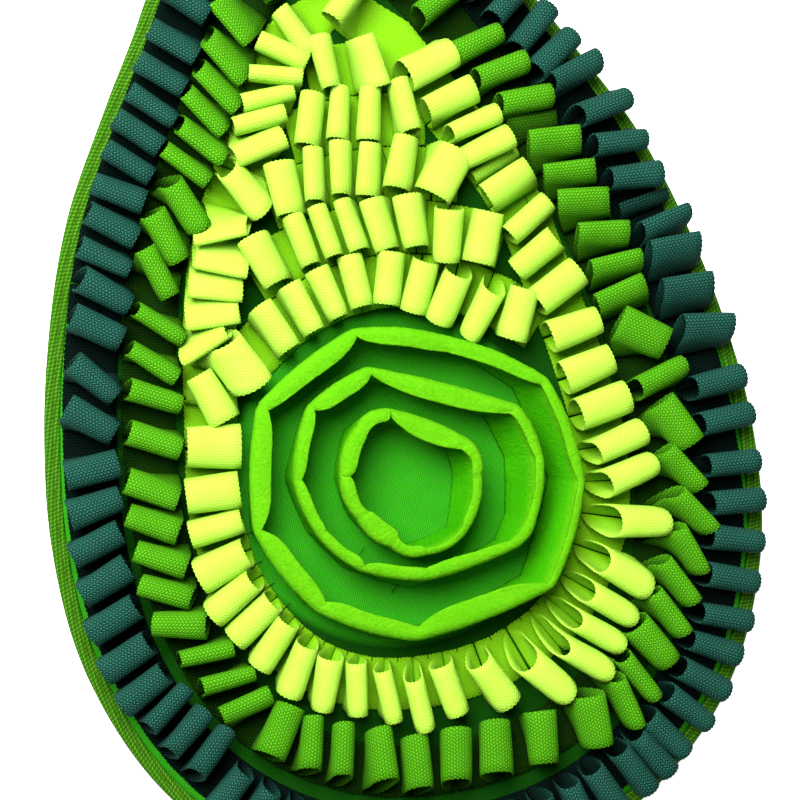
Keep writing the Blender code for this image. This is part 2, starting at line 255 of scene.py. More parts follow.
# %% The three rows that run right round
DARK_ROW = {
    "inset": ((90, 19), (130, 19.5), (180, 22), (360, 22), (410, 19.5), (450, 19)),
    "spacing": (
        (106.5, 6), (127.0, 3), (140.8, 3), (163.9, 2), (178.0, 4), (205.0, 4), (225.8, 14),
        (299.4, 2), (306.8, 4), (327.9, 4), (354.8, 2), (371.5, 3), (391.6, 5), (417.2, 15),
    ),
    "out": ((90, 3), (100, 1.5), (115, 0), (180, 1), (225, 4), (270, 5), (330, 6), (360, 6), (400, 8),
            (425, 7), (450, 3)),
    "turn": ((90, 0), (106, -12), (125, -14), (140, -19), (150, -23), (159, -20), (170, 3),
             (180, 10), (205, 6), (225, 0), (300, 0), (360, 4), (420, 8), (450, 0)),
}
MID_ROW = {
    "inset": ((90, 44.5), (130, 44.5), (150, 47), (180, 51), (225, 54), (270, 56), (315, 54),
              (360, 50), (390, 47), (410, 44.5), (450, 44.5)),
    "spacing": (
        (98.0, 5), (113.0, 3), (127.6, 2), (141.6, 2), (155.6, 1), (165.9, 3), (190.4, 4),
        (220.2, 2), (235.5, 3), (255.9, 3), (281.6, 2), (300.3, 4), (324.9, 3), (347.0, 2),
        (366.0, 2), (385.4, 2), (397.5, 3), (413.5, 3), (426.8, 8),
    ),
    "out": ((90, 2.5), (99, 0.3), (180, 0), (225, 3), (270, 5.5), (300, 7.5), (340, 9.3), (380, 8),
            (420, 6.5), (450, 2.5)),
    "turn": ((90, 0), (98, -12), (113, -14), (120, -18), (145, -18), (190, -16), (225, 4),
             (270, 0), (300, 0), (340, -14), (375, -6), (410, 6), (450, 0)),
}
PALE_ROW = {
    "inset": ((90, 69.8), (128, 70.2), (147, 75), (162, 78), (180, 78), (225, 91), (270, 99),
              (315, 92), (345, 80), (360, 77), (380, 76), (393, 74.5), (408, 70.2), (450, 69.8)),
    "spacing": (
        (96.0, 5), (107.0, 2), (116.5, 3), (128.5, 2), (142.0, 2), (167.5, 3), (198.0, 4),
        (232.0, 3), (257.0, 2), (275.8, 2), (298.5, 2), (313.5, 2), (334.5, 2), (354.5, 2),
        (375.5, 2), (399.0, 2), (413.5, 3), (427.0, 3), (436.0, 3),
    ),
    "out": ((90, 2), (96, 0), (180, -1), (215, 4), (270, 9), (310, 11.5), (345, 11.5), (380, 8),
            (395, 7), (420, 6), (450, 2)),
    "turn": ((90, 0), (97, -6), (112, -4), (130, 4), (160, 0), (200, -4), (260, 0), (300, -10),
             (330, -12), (350, 0), (380, 8), (410, 12), (430, 8), (450, 0)),
}
print("rows with tables:", len((DARK_ROW, MID_ROW, PALE_ROW)))

# %% [markdown]
# A fold is where the ribbon is sewn down, and each loop stands between two folds. Laying a row out
# gives its folds, the way out of the mat at each, and how each loop leans and turns.

# %% Laying out a row that runs right round
def fold_bearings(spacing):
    """The bearing of each fold of a closed row, from its spacing table."""
    ends = list(spacing[1:]) + [(spacing[0][0] + 360, 0)]
    bearings = []
    for (bearing, loops), (following, _) in zip(spacing, ends):
        bearings += [bearing + (following - bearing) * i / loops for i in range(loops)]
    return np.array(bearings + [ends[-1][0]])


def fold_directions(points):
    """The way out of the mat at each point of a row that runs anticlockwise."""
    along = np.gradient(points, axis=0)
    along /= np.linalg.norm(along, axis=1)[:, None]
    return np.stack([along[:, 1], -along[:, 0]], axis=1)


def lay_out_row(row):
    """The folds of a closed row, the way out at each, and how its loops lean and turn."""
    bearings = fold_bearings(row["spacing"])
    folds = inset_points(row["inset"], bearings)
    outwards = fold_directions(np.vstack([folds[-2], folds, folds[1]]))[1:-1]
    middles = ((bearings[:-1] + bearings[1:]) / 2 - 90) % 360 + 90
    return {
        "folds": folds,
        "outwards": outwards,
        "out": smooth_curve(row["out"], middles),
        "turn": smooth_curve(row["turn"], middles),
        "lean": np.ones(len(middles)),
        "closed": True,
    }


for title, row in (("dark", DARK_ROW), ("middle green", MID_ROW), ("pale", PALE_ROW)):
    print(title, "row:", len(fold_bearings(row["spacing"])) - 1, "loops")

# %% [markdown]
# The neck of the mat is filled by five short rows, each an arc round the felt rings. Their loops
# stand nearly upright, and the rows get shorter towards the tip.

# %% The short rows across the neck
NECK_ROWS = (  # reach, first bearing, last bearing, loops
    (95.5, 43.5, 129.5, 9),
    (121.0, 61.5, 115.8, 8),
    (146.5, 73.3, 105.3, 6),
    (172.0, 79.9, 98.0, 4),
    (197.5, 86.3, 93.0, 2),
)
NECK_OUT = ((45, 3), (90, 1), (135, 0))
NECK_TURN = ((45, 8), (90, 0), (135, -6))
NECK_LEAN = 0.35


def lay_out_neck(arc):
    """The folds of one short row, and how its loops lean and turn."""
    reach, first, last, loops = arc
    bearings = np.linspace(first, last, loops + 1)
    middles = (bearings[:-1] + bearings[1:]) / 2
    folds = at_bearing(bearings, reach)
    return {
        "folds": folds,
        "outwards": fold_directions(folds),
        "out": smooth_curve(NECK_OUT, middles),
        "turn": smooth_curve(NECK_TURN, middles),
        "lean": np.full(loops, NECK_LEAN),
        "closed": False,
    }


print("neck loops:", sum(arc[3] for arc in NECK_ROWS))

# %% [markdown]
# ## The shape of one loop
# Seen from the side, a loop rises from its line of stitching, rolls over a broad top and comes
# down again. Ribbon pushed close together leans over the next loop like a wave, while ribbon with
# room stands up. Both are the same few points moved about: the width of the top stays the same,
# and only the legs get longer or shorter. A cloth simulation could find this shape, but it would
# be slow and hard to steer for two hundred loops. The two feet of a loop pass each other a little,
# because softening the line later draws them apart, and on the real ribbon they meet at the stitch.

# %% The corners of one loop
RIBBON_WIDE = 24.6
RIBBON_THICK = 1.1
RIBBON_FLOOR = 4.75
LOOP_TALL = 21.2
CREST_WIDE = 11.2
TOP_ROUND = 0.44  # how deep the rounded top is, as a share of its width
MOST_ROUND = 5.2
TOP_TURNS = (0, 36, 72, 108, 144, 180)
FOOT_CROSSING = 1.05
BELLY_OUT = 0.8  # how far out a leg is just above its foot, as a share of its whole way out
RISE_BELLY = 0.2  # how high that place is, as a share of the loop
FALL_BELLY = 0.22
OVERHANG = 1.06


def loop_points(pitch, tall, lean, crest):
    """The way along and the height of the corners of one loop, from fold to fold."""
    half = crest / 2
    deep = min(TOP_ROUND * crest, MOST_ROUND)
    upright = 0.5 * pitch
    start, end = upright + FOOT_CROSSING, upright - FOOT_CROSSING
    leaning = max(OVERHANG * pitch - half, upright)
    centre = upright + (leaning - upright) * lean
    near, far = centre - half, centre + half
    rise = (start + (near - start) * BELLY_OUT, RISE_BELLY * tall)
    fall = (end + (far - end) * BELLY_OUT, FALL_BELLY * tall)
    roll = [
        (centre - half * math.cos(math.radians(a)), tall - deep + deep * math.sin(math.radians(a)))
        for a in TOP_TURNS
    ]
    return np.array([(0, 0), (start, 0), rise, *roll, fall, (end, 0)])


print("corners of one loop:", len(loop_points(15.0, LOOP_TALL, 0, CREST_WIDE)))

# %% [markdown]
# The loops of a row are joined into one line, with its points spread evenly along each loop. The
# line is then softened, as cloth has no corners. A closed row is first made longer by a piece of
# its own other end, so that it stays smooth where its ends meet.

# %% The side view of a whole row
STATIONS = 68  # points along one loop
SOFTENING = (0.06, 0.12, 0.2, 0.24, 0.2, 0.12, 0.06)
SOFTENED_TIMES = 2
LINE_PAD = 12


def along_line(points, count):
    """Evenly spaced places along a line of points, the last point left out."""
    run = distances_along(points)
    return points_at(points, run, np.linspace(0, run[-1], count + 1)[:-1])


def side_line(pitches, loops, closed):
    """The side view of a whole row: for each station, the way past its own fold and the height."""
    starts = np.concatenate([[0], np.cumsum(pitches)])
    pieces = []
    for start, pitch, loop in zip(starts, pitches, loops):
        corners = np.vstack([loop_points(pitch, *loop), (pitch, 0)])
        pieces.append(along_line(corners, STATIONS) + (start, 0))
    line = np.vstack(pieces)
    whole = (starts[-1], 0)
    if closed:
        before, after = line[-LINE_PAD:] - whole, line[:LINE_PAD] + whole
    else:
        before, after = np.repeat(line[:1], LINE_PAD, axis=0), np.repeat([whole], LINE_PAD, axis=0)
    line = np.vstack([before, line, after])
    for _ in range(SOFTENED_TIMES):
        line = np.stack([np.convolve(line[:, k], SOFTENING, "same") for k in (0, 1)], axis=1)
    line = line[LINE_PAD:-LINE_PAD]
    owners = np.repeat(np.arange(len(pitches)), STATIONS)
    return line[:, 0] - starts[owners], line[:, 1], owners


along, high, _ = side_line([15.0] * 3, [(LOOP_TALL, 0, CREST_WIDE)] * 3, True)
one_loop = np.stack([along, high], axis=1)[:STATIONS]
print("ribbon in one loop:", round(distances_along(one_loop)[-1]), "mm")

# %% [markdown]
# Loops made by hand never stand in line, so a table says for each loop that shows where its top
# lies, which way it points and how wide it is. A few loops are pressed down by their neighbours,
# and they have a height as well. The other loops take all this from their row.

# %% Where the tops of the loops lie
PLACED_LOOPS = {
    # loop: (across the mat, along the mat, bearing of its outer end, width of its top, height)
    "dark": {
        0: (-77.6, 218.4, 139, 10.0), 1: (-85.5, 205.2, 139, 10.0), 2: (-91.6, 191.7, 136, 9.0),
        3: (-99.9, 181.3, 136, 10.4), 4: (-106.8, 168.0, 138, 9.5), 5: (-113.8, 154.2, 150, 10.9),
        6: (-119.1, 139.7, 142, 11.4), 7: (-124.8, 125.7, 145, 9.5), 8: (-126.6, 110.2, 141, 12.3),
        9: (-133.3, 95.5, 144, 13.2), 10: (-138.7, 72.2, 130, 11.4), 11: (-143.6, 54.4, 141, 13.2),
        12: (-146.8, 30.6, 185, 13.2), 13: (-148.3, 14.1, 190, 13.2), 14: (-151.2, -2.7, 198, 12.3),
        15: (-150.1, -20.2, 202, 13.2), 16: (-150.1, -39.0, 202, 13.2), 17: (-147.3, -57.4, 204, 13.2),
        18: (-141.7, -73.5, 208, 12.3), 19: (-130.7, -82.7, 217, 9.0), 20: (-123.4, -95.0, 220, 10.4),
        21: (-113.7, -106.3, 225, 10.4), 47: (155.0, 21.6, 4, 12.3), 48: (154.0, 50.9, 353, 12.8),
        49: (146.0, 71.5, 358, 11.8), 50: (143.4, 91.3, 2, 10.9), 51: (141.0, 103.3, 14, 8.6),
        52: (133.9, 114.0, 10, 5.8, 9), 53: (130.9, 125.1, 357, 11.8), 54: (125.9, 142.2, 358, 10.4),
        55: (122.0, 160.1, 11, 11.4), 56: (110.3, 180.5, 17, 10.4),
    },
    "middle green": {
        0: (-49.6, 224.0, 120, 9.5), 1: (-55.5, 206.2, 123, 9.5), 2: (-60.9, 193.9, 124, 8.8),
        3: (-68.6, 184.4, 124, 8.1), 4: (-71.9, 170.4, 133, 8.8), 5: (-80.9, 162.0, 134, 8.1),
        6: (-82.7, 143.2, 112, 12.3), 7: (-95.3, 130.9, 109, 12.3), 8: (-101.9, 115.9, 108, 10.2),
        9: (-104.5, 91.3, 138, 7.9), 10: (-110.7, 74.4, 138, 8.6), 11: (-112.2, 59.2, 153, 10.0),
        12: (-116.1, 39.2, 152, 11.8), 13: (-122.0, 15.9, 150, 11.8), 14: (-124.6, 0.9, 151, 11.8),
        15: (-123.7, -15.7, 152, 10.9), 16: (-124.5, -30.6, 154, 10.4), 17: (-120.7, -46.9, 168, 12.3),
        18: (-109.3, -62.2, 182, 7.9), 19: (-101.3, -75.6, 184, 7.9), 20: (-95.5, -88.5, 193, 9.5),
        21: (-81.1, -103.2, 237, 15.1), 22: (-67.7, -111.1, 256, 10.4), 23: (-53.9, -116.6, 258, 10.4),
        24: (-35.2, -122.2, 267, 12.8), 25: (-19.6, -129.6, 266, 13.2), 26: (-1.7, -129.2, 261, 15.1),
        27: (17.2, -129.6, 262, 16.0), 28: (40.5, -130.3, 265, 15.1), 29: (67.9, -128.3, 272, 15.6),
        30: (84.5, -123.3, 284, 8.8), 31: (91.8, -112.6, 299, 8.8), 32: (101.8, -97.5, 302, 14.2),
        33: (112.1, -83.9, 297, 8.8), 34: (119.4, -70.1, 297, 8.8), 35: (128.2, -56.7, 291, 8.1),
        36: (133.8, -38.3, 305, 8.8), 37: (131.1, -16.4, 303, 9.0), 38: (131.9, 6.2, 297, 14.6),
        39: (127.0, 29.8, 17, 10.9), 40: (121.4, 52.5, 326, 17.0), 41: (112.6, 72.8, 14, 10.4),
        42: (113.0, 87.1, 4, 8.8), 43: (109.8, 103.0, 353, 10.4), 44: (101.9, 120.1, 354, 11.4),
        45: (97.5, 134.2, 357, 9.0), 46: (93.4, 150.6, 357, 11.4), 47: (86.1, 161.8, 359, 5.8, 9),
        48: (84.5, 169.7, 1, 11.4), 49: (75.0, 185.4, 11, 10.9), 50: (65.3, 199.2, 16, 10.9),
    },
    "pale": {
        0: (-27.3, 208.5, 146, 9.5), 1: (-32.3, 198.4, 166, 7.6), 2: (-37.3, 188.9, 184, 8.1),
        3: (-43.2, 179.0, 186, 8.6), 4: (-44.7, 165.2, 194, 11.4), 5: (-55.8, 144.4, 120, 13.2),
        6: (-71.1, 126.8, 183, 5.8), 7: (-73.0, 112.5, 158, 8.6), 8: (-77.4, 101.1, 166, 9.0),
        9: (-80.8, 89.4, 178, 10.9), 10: (-87.1, 77.4, 203, 7.2), 11: (-68.7, 67.2, 116, 19.3),
        12: (-86.8, 54.8, 110, 14.6), 13: (-89.7, 32.7, 171, 20.7), 14: (-94.4, 10.5, 178, 17.0),
        15: (-95.8, -5.7, 186, 12.3), 16: (-96.1, -23.6, 198, 16.0), 17: (-94.6, -39.5, 210, 13.2),
        18: (-86.4, -51.9, 214, 13.2), 19: (-79.1, -64.6, 227, 12.3), 20: (-69.8, -78.8, 240, 12.3),
        21: (-57.5, -87.4, 251, 11.8), 22: (-43.3, -92.1, 262, 9.7), 23: (-29.4, -98.1, 273, 8.6),
        24: (-15.7, -105.5, 274, 9.5), 25: (-0.7, -101.1, 280, 11.8), 26: (22.1, -102.6, 296, 14.2),
        27: (49.3, -106.4, 310, 15.1), 28: (68.8, -100.9, 321, 11.4), 29: (77.2, -89.0, 321, 11.1),
        30: (85.1, -77.4, 320, 11.8), 31: (94.2, -64.5, 320, 14.2), 32: (107.2, -39.8, 349, 15.1),
        33: (105.6, -14.3, 13, 13.7), 34: (102.3, 1.3, 15, 13.2), 35: (96.7, 20.6, 11, 16.5),
        36: (91.6, 39.3, 13, 16.0), 37: (88.4, 58.1, 10, 15.1), 38: (83.7, 79.5, 28, 15.6),
        39: (74.3, 95.9, 30, 12.8), 40: (74.9, 113.5, 32, 10.9), 41: (67.1, 133.3, 25, 13.2),
        42: (65.2, 142.2, 22, 5.8, 9), 43: (62.0, 148.9, 17, 11.4), 44: (57.9, 161.9, 14, 9.5),
        45: (47.7, 175.8, 16, 13.2), 46: (41.9, 192.3, 17, 16.5),
    },
    "neck 1": {
        0: (62.3, 68.7, 65, 14.6), 1: (43.7, 70.4, 53, 11.8), 2: (29.1, 80.9, 57, 14.2),
        3: (17.0, 89.1, 65, 13.2), 4: (3.8, 96.1, 74, 12.8), 5: (-11.7, 97.7, 94, 11.8),
        6: (-25.2, 94.3, 105, 10.9), 7: (-37.8, 89.8, 108, 10.9), 8: (-51.8, 83.1, 114, 12.3),
    },
    "neck 2": {
        0: (52.9, 107.0, 68, 15.1), 1: (34.6, 110.5, 77, 13.7), 2: (17.7, 121.3, 91, 13.2),
        3: (2.0, 121.9, 98, 11.8), 4: (-11.0, 124.0, 100, 9.0), 5: (-22.6, 123.1, 100, 9.0),
        6: (-33.4, 121.1, 101, 10.0), 7: (-54.0, 114.1, 110, 14.6),
    },
    "neck 3": {
        0: (40.7, 140.4, 52, 18.9), 1: (18.2, 149.6, 70, 12.8), 2: (1.8, 148.4, 77, 10.4),
        3: (-11.1, 151.4, 82, 9.5), 4: (-23.6, 150.6, 83, 9.3), 5: (-39.0, 146.0, 93, 14.2),
    },
    "neck 4": {
        0: (26.1, 175.8, 95, 10.4), 1: (7.6, 174.0, 78, 10.7), 2: (-6.6, 177.1, 76, 9.7),
        3: (-21.0, 176.5, 73, 11.8),
    },
    "neck 5": {
        0: (14.5, 197.4, 98, 11.8), 1: (-9.6, 201.1, 94, 10.0),
    },
}
print("loops with a place of their own:", sum(len(loops) for loops in PLACED_LOOPS.values()))

# %% [markdown]
# Every loop also gets a small tilt, bow and taper of its own. The spreads say how far each of
# these may stray. What the table gives then takes the place of the row's own values.

# %% How each loop of a row is made
SPREADS = {  # the least and the most that is added for each loop, in this order
    "tall": (-1.2, 0.8),
    "lean": (-0.12, 0.04),
    "crest": (-1.0, 1.0),
    "out": (-1.0, 1.0),
    "turn": (-4, 4),
    "tilt": (-3.5, 3.5),
    "bow": (-0.3, 0.8),
    "taper": (-0.10, 0.10),
}


def loop_habits(title, layout, ahead, outward, seed):
    """Height, lean, width, place, turn, tilt, bow and taper of each loop of a row."""
    folds = layout["folds"]
    count = len(ahead)
    rng = repeatable(seed)
    habits = {key: rng.uniform(*spread, count) for key, spread in SPREADS.items()}
    habits["tall"] += LOOP_TALL
    habits["lean"] = np.clip(layout["lean"] + habits["lean"], 0, 1)
    habits["crest"] += CREST_WIDE
    habits["out"] += layout["out"]
    habits["turn"] += layout["turn"]
    habits["slide"] = np.zeros(count)
    for loop, (x, y, points_to, wide, *height) in PLACED_LOOPS[title].items():
        facing = math.degrees(math.atan2(outward[loop, 1], outward[loop, 0]))
        habits["turn"][loop] = (points_to - facing + 180) % 360 - 180
        away = np.array((x, y)) - (folds[loop] + folds[loop + 1]) / 2
        habits["slide"][loop] = away @ ahead[loop]
        habits["out"][loop] = away @ outward[loop]
        habits["crest"][loop] = wide
        habits["lean"][loop] = 0
        if height:
            habits["tall"][loop] = height[0]
    return habits


print("each loop has", len(SPREADS) + 1, "values of its own")

# %% [markdown]
# Near its stitching the ribbon fans out with the row, but its top is a stiff straight tube. So
# each point is worked out both ways, and the height blends one into the other. The woven edge of
# the ribbon shows as tiny steps. A short row across the neck ends in a flat tail on both sides.

# %% Placing the loops of a row
COLUMNS = 7  # points across the ribbon
SELVEDGE = 0.22
STIFF_FROM = 0.7  # share of the height from which the ribbon is a straight tube
TAIL_LONG = 7.0
TAIL_STEPS = 6


def with_tails(grid, ahead):
    """The same row with a flat tail before its first loop and after its last."""
    steps = np.arange(1, TAIL_STEPS + 1)[:, None, None] * TAIL_LONG / TAIL_STEPS
    before = grid[:1] - steps[::-1] * np.append(ahead[0], 0)
    after = grid[-1:] + steps * np.append(ahead[-1], 0)
    before[..., 2] = after[..., 2] = RIBBON_FLOOR
    return np.concatenate([before, grid, after])


def loop_grid(title, layout, seed):
    """The middle surface of a whole row, as a grid of stations by columns."""
    folds, outwards = layout["folds"], layout["outwards"]
    runs = np.diff(folds, axis=0)
    pitches = np.linalg.norm(runs, axis=1)
    ahead = runs / pitches[:, None]
    outward = np.stack([ahead[:, 1], -ahead[:, 0]], axis=1)
    habits = loop_habits(title, layout, ahead, outward, seed)
    loops = list(zip(habits["tall"], habits["lean"], habits["crest"]))
    along, high, owner = side_line(pitches, loops, layout["closed"])
    tall, out, turn, tilt, bow, taper, slide = (
        habits[key][owner] for key in ("tall", "out", "turn", "tilt", "bow", "taper", "slide")
    )
    across = np.linspace(-1, 1, COLUMNS)
    v = across[None, :, None] * RIBBON_WIDE / 2
    ratchet = np.where(np.arange(len(along)) % 2 == 0, SELVEDGE, -SELVEDGE)
    edge_wave = np.zeros((len(along), COLUMNS, 1))
    edge_wave[:, 0, 0] = ratchet
    edge_wave[:, -1, 0] = ratchet
    v = v + edge_wave
    t = (along / pitches[owner])[:, None, None]
    first = folds[owner][:, None] + outwards[owner][:, None] * v
    last = folds[owner + 1][:, None] + outwards[owner + 1][:, None] * v
    fanned = first + (last - first) * t
    angle = np.radians(turn)[:, None]
    a, o = ahead[owner], outward[owner]
    turned_a = a * np.cos(angle) - o * np.sin(angle)
    turned_o = o * np.cos(angle) + a * np.sin(angle)
    middle = (folds[owner] + folds[owner + 1]) / 2
    reach = (along - pitches[owner] / 2)[:, None, None] * (1 + taper[:, None] * across)[..., None]
    stiff = middle[:, None] + turned_a[:, None] * reach + turned_o[:, None] * v
    height = np.clip(high / tall, 0, 1)[:, None, None]
    share = np.clip(height / STIFF_FROM, 0, 1)
    share = share * share * (3 - 2 * share)
    shift = o * out[:, None] + a * slide[:, None]
    flat = fanned * (1 - share) + stiff * share + shift[:, None] * height
    lift = v[..., 0] * np.tan(np.radians(tilt))[:, None] - bow[:, None] * across**2
    z = RIBBON_FLOOR + high[:, None] + lift * share[..., 0]
    grid = np.concatenate([flat, z[..., None]], axis=2)
    return grid if layout["closed"] else with_tails(grid, ahead)


print("points in the top neck row:", loop_grid("neck 5", lay_out_neck(NECK_ROWS[-1]), 55).shape)

# %% [markdown]
# The grid is the middle of the ribbon. It gets a thickness, thinner at the two woven edges, and a
# UV map in metres: along the ribbon one way and across it the other.

# %% One row as one strip
EDGE_HALF = 0.36  # half of the ribbon's thickness at its woven edges, as a share of the whole
MIDDLE_HALF = 0.5
EDGE_ROUND = 0.25
EDGE_PLACE = 1.02  # where the outermost points lie on the UV map, as a share of half the width


def ribbon_row(name, title, layout, finish, seed):
    """One whole row of looped ribbon as a single thin closed strip."""
    grid = loop_grid(title, layout, seed)
    half = np.full(COLUMNS, MIDDLE_HALF * RIBBON_THICK)
    half[[0, -1]] = EDGE_HALF * RIBBON_THICK
    if layout["closed"]:
        padded = np.concatenate([grid[-2:], grid, grid[:2]])
        rings = both_sides(padded, half, EDGE_ROUND)[2:-2]
    else:
        rings = both_sides(grid, half, EDGE_ROUND)
    sections, corners = rings.shape[:2]
    faces, s, c = tube_faces(sections, corners, layout["closed"])
    run = distances_along(np.concatenate([grid, grid[:1]])[:, COLUMNS // 2]) * MM
    half_wide = RIBBON_WIDE / 2 * MM
    across = np.linspace(-half_wide, half_wide, COLUMNS)
    far = half_wide * EDGE_PLACE
    place = np.concatenate([across, [far], across[::-1], [-far]])
    uv = strip_uv(run, np.append(place, place[0]), s, c)
    faces, uv = faces.tolist(), uv.reshape(-1, 2).tolist()
    if not layout["closed"]:
        for section in (0, sections - 1):
            base = section * corners
            cap = list(range(base, base + corners))
            faces.append(cap if section else cap[::-1])
            uv += [[run[section], place[k - base]] for k in faces[-1]]
    piece = new_piece(name, rings, faces, finish, uv)
    length = run[len(run) - 1 if layout["closed"] else len(grid) - 1]
    print(name, "is", round(length, 2), "m of ribbon")
    return piece, length


print("a ribbon is", RIBBON_WIDE, "mm wide and", RIBBON_THICK, "mm thick")

# %% [markdown]
# ## Node groups that several finishes share
# A woven cloth shows two sets of threads that pass over and under each other. On the mat, the
# ribbon, the base cloth and the binding all show such threads at their own scale, so the weave is
# one group with named inputs. It gives a height for the Bump node and a mask for the colour. A
# painted cloth texture could do the same, but nodes stay sharp from near by and repeat nowhere.

# %% Helpers that build node trees
def add_node(tree, kind, **settings):
    """A new node with its settings, and with plain values for the inputs named by number."""
    node = tree.nodes.new(kind)
    for key, value in settings.items():
        if key == "values":
            for which, number in value.items():
                node.inputs[which].default_value = number
        else:
            setattr(node, key, value)
    return node


def calculate(tree, operation, first, second=None, third=None):
    """One Math node. Each input is a socket to link or a plain number."""
    node = add_node(tree, "ShaderNodeMath", operation=operation)
    for place, value in enumerate((first, second, third)):
        if value is None:
            continue
        if isinstance(value, (int, float)):
            node.inputs[place].default_value = value
        else:
            tree.links.new(value, node.inputs[place])
    return node.outputs[0]


def clamped(tree, value):
    """The value, kept between 0 and 1."""
    return calculate(tree, "MINIMUM", calculate(tree, "MAXIMUM", value, 0.0), 1.0)


def new_group(name, inputs, outputs):
    """An empty node group with named sockets: (name, kind, default value)."""
    group = bpy.data.node_groups.new(name, "ShaderNodeTree")
    for label, kind, value in inputs:
        socket = group.interface.new_socket(label, in_out="INPUT", socket_type="NodeSocket" + kind)
        if value is not None:
            socket.default_value = value
    for label, kind in outputs:
        group.interface.new_socket(label, in_out="OUTPUT", socket_type="NodeSocket" + kind)
    source = group.nodes.new("NodeGroupInput")
    result = group.nodes.new("NodeGroupOutput")
    return group, source.outputs, result.inputs


def mix_colour(tree, factor, first, second, blend="MIX"):
    """A colour Mix node. Each input is a socket to link or a plain value."""
    node = add_node(tree, "ShaderNodeMix", data_type="RGBA", blend_type=blend)
    for place, value in ((0, factor), (6, first), (7, second)):
        if isinstance(value, (int, float)):
            node.inputs[place].default_value = value
        elif isinstance(value, tuple):
            node.inputs[place].default_value = (*value, 1)
        else:
            tree.links.new(value, node.inputs[place])
    return node.outputs[2]


print("helpers for node trees are ready")

# %% [markdown]
# Two cosines, one along the ribbon and one across it, make rows of staggered ovals, which is how
# threads look where they pass over. A sine bends each row to and fro, because a thread never lies
# quite square to the ribbon. A little noise keeps the ovals from being all alike.

# %% The weave group
OVAL_ALONG = 0.8  # below 1 an oval is long and flat-topped, above 1 it is short and round
OVAL_ACROSS = 0.9
THREAD_CONTRAST = 1.9
THREAD_LEVEL = -0.35


def make_weave_group():
    """Threads that pass over and under: staggered ovals, as a rounded height and a thread mask."""
    group, given, result = new_group(
        "weave",
        [("Place", "Vector", None), ("Pitch Along", "Float", 0.00085), ("Pitch Across", "Float", 0.0008),
         ("Slant", "Float", 0.0), ("Unevenness", "Float", 0.35)],
        [("Height", "Float"), ("Over", "Float")],
    )
    wander = add_node(group, "ShaderNodeTexNoise", values={"Scale": 160.0, "Detail": 2.0})
    group.links.new(given["Place"], wander.inputs["Vector"])
    shift = calculate(group, "SUBTRACT", wander.outputs[0], 0.5)
    shift = calculate(group, "MULTIPLY", shift, given["Unevenness"])
    parts = add_node(group, "ShaderNodeSeparateXYZ")
    group.links.new(given["Place"], parts.inputs[0])
    rows_passed = calculate(group, "DIVIDE", parts.outputs["X"], given["Pitch Along"])
    rows_passed = calculate(group, "MULTIPLY", rows_passed, math.pi)
    zigzag = calculate(group, "MULTIPLY", calculate(group, "SINE", rows_passed), given["Pitch Along"])
    zigzag = calculate(group, "MULTIPLY", zigzag, given["Slant"])
    slanted = calculate(group, "ADD", parts.outputs["Y"], zigzag)
    waves = []
    for way, pitch in ((parts.outputs["X"], "Pitch Along"), (slanted, "Pitch Across")):
        turns = calculate(group, "DIVIDE", way, given[pitch])
        turns = calculate(group, "ADD", turns, shift)
        waves.append(calculate(group, "COSINE", calculate(group, "MULTIPLY", turns, math.pi)))
    along, across = waves
    rows = calculate(group, "POWER", calculate(group, "ABSOLUTE", along), OVAL_ALONG)
    stagger = calculate(group, "MULTIPLY", across, calculate(group, "SIGN", along))
    stagger = calculate(group, "MULTIPLY_ADD", stagger, 0.5, 0.5)
    swell = calculate(group, "MULTIPLY", rows, calculate(group, "POWER", stagger, OVAL_ACROSS))
    over = clamped(group, calculate(group, "MULTIPLY_ADD", swell, THREAD_CONTRAST, THREAD_LEVEL))
    group.links.new(swell, result["Height"])
    group.links.new(over, result["Over"])
    return group


WEAVE = make_weave_group()
print("node group:", WEAVE.name)

# %% [markdown]
# Dyed cloth is never one flat colour: the dye takes unevenly from thread to thread, and where the
# cloth is creased or touched it is a little lighter. A second group gives that slow change of tone.

# %% The dye group
PATCH_CONTRAST = 1.6
PATCH_LEVEL = -0.3


def make_dye_group():
    """A colour that wanders slowly between a deep and a light tone of the same dye."""
    group, given, result = new_group(
        "dye",
        [("Place", "Vector", None), ("Deep", "Color", (0, 0, 0, 1)), ("Light", "Color", (1, 1, 1, 1)),
         ("Patch Scale", "Float", 60.0), ("Thread Mask", "Float", 0.5), ("Thread Share", "Float", 0.35)],
        [("Colour", "Color"), ("Tone", "Float")],
    )
    patches = add_node(group, "ShaderNodeTexNoise", values={"Detail": 4.0, "Roughness": 0.6})
    group.links.new(given["Place"], patches.inputs["Vector"])
    group.links.new(given["Patch Scale"], patches.inputs["Scale"])
    tone = clamped(group, calculate(group, "MULTIPLY_ADD", patches.outputs[0], PATCH_CONTRAST, PATCH_LEVEL))
    thread = calculate(group, "SUBTRACT", given["Thread Mask"], tone)
    tone = calculate(group, "MULTIPLY_ADD", thread, given["Thread Share"], tone)
    colour = mix_colour(group, tone, given["Deep"], given["Light"])
    group.links.new(colour, result["Colour"])
    group.links.new(tone, result["Tone"])
    return group


DYE = make_dye_group()
print("node group:", DYE.name)
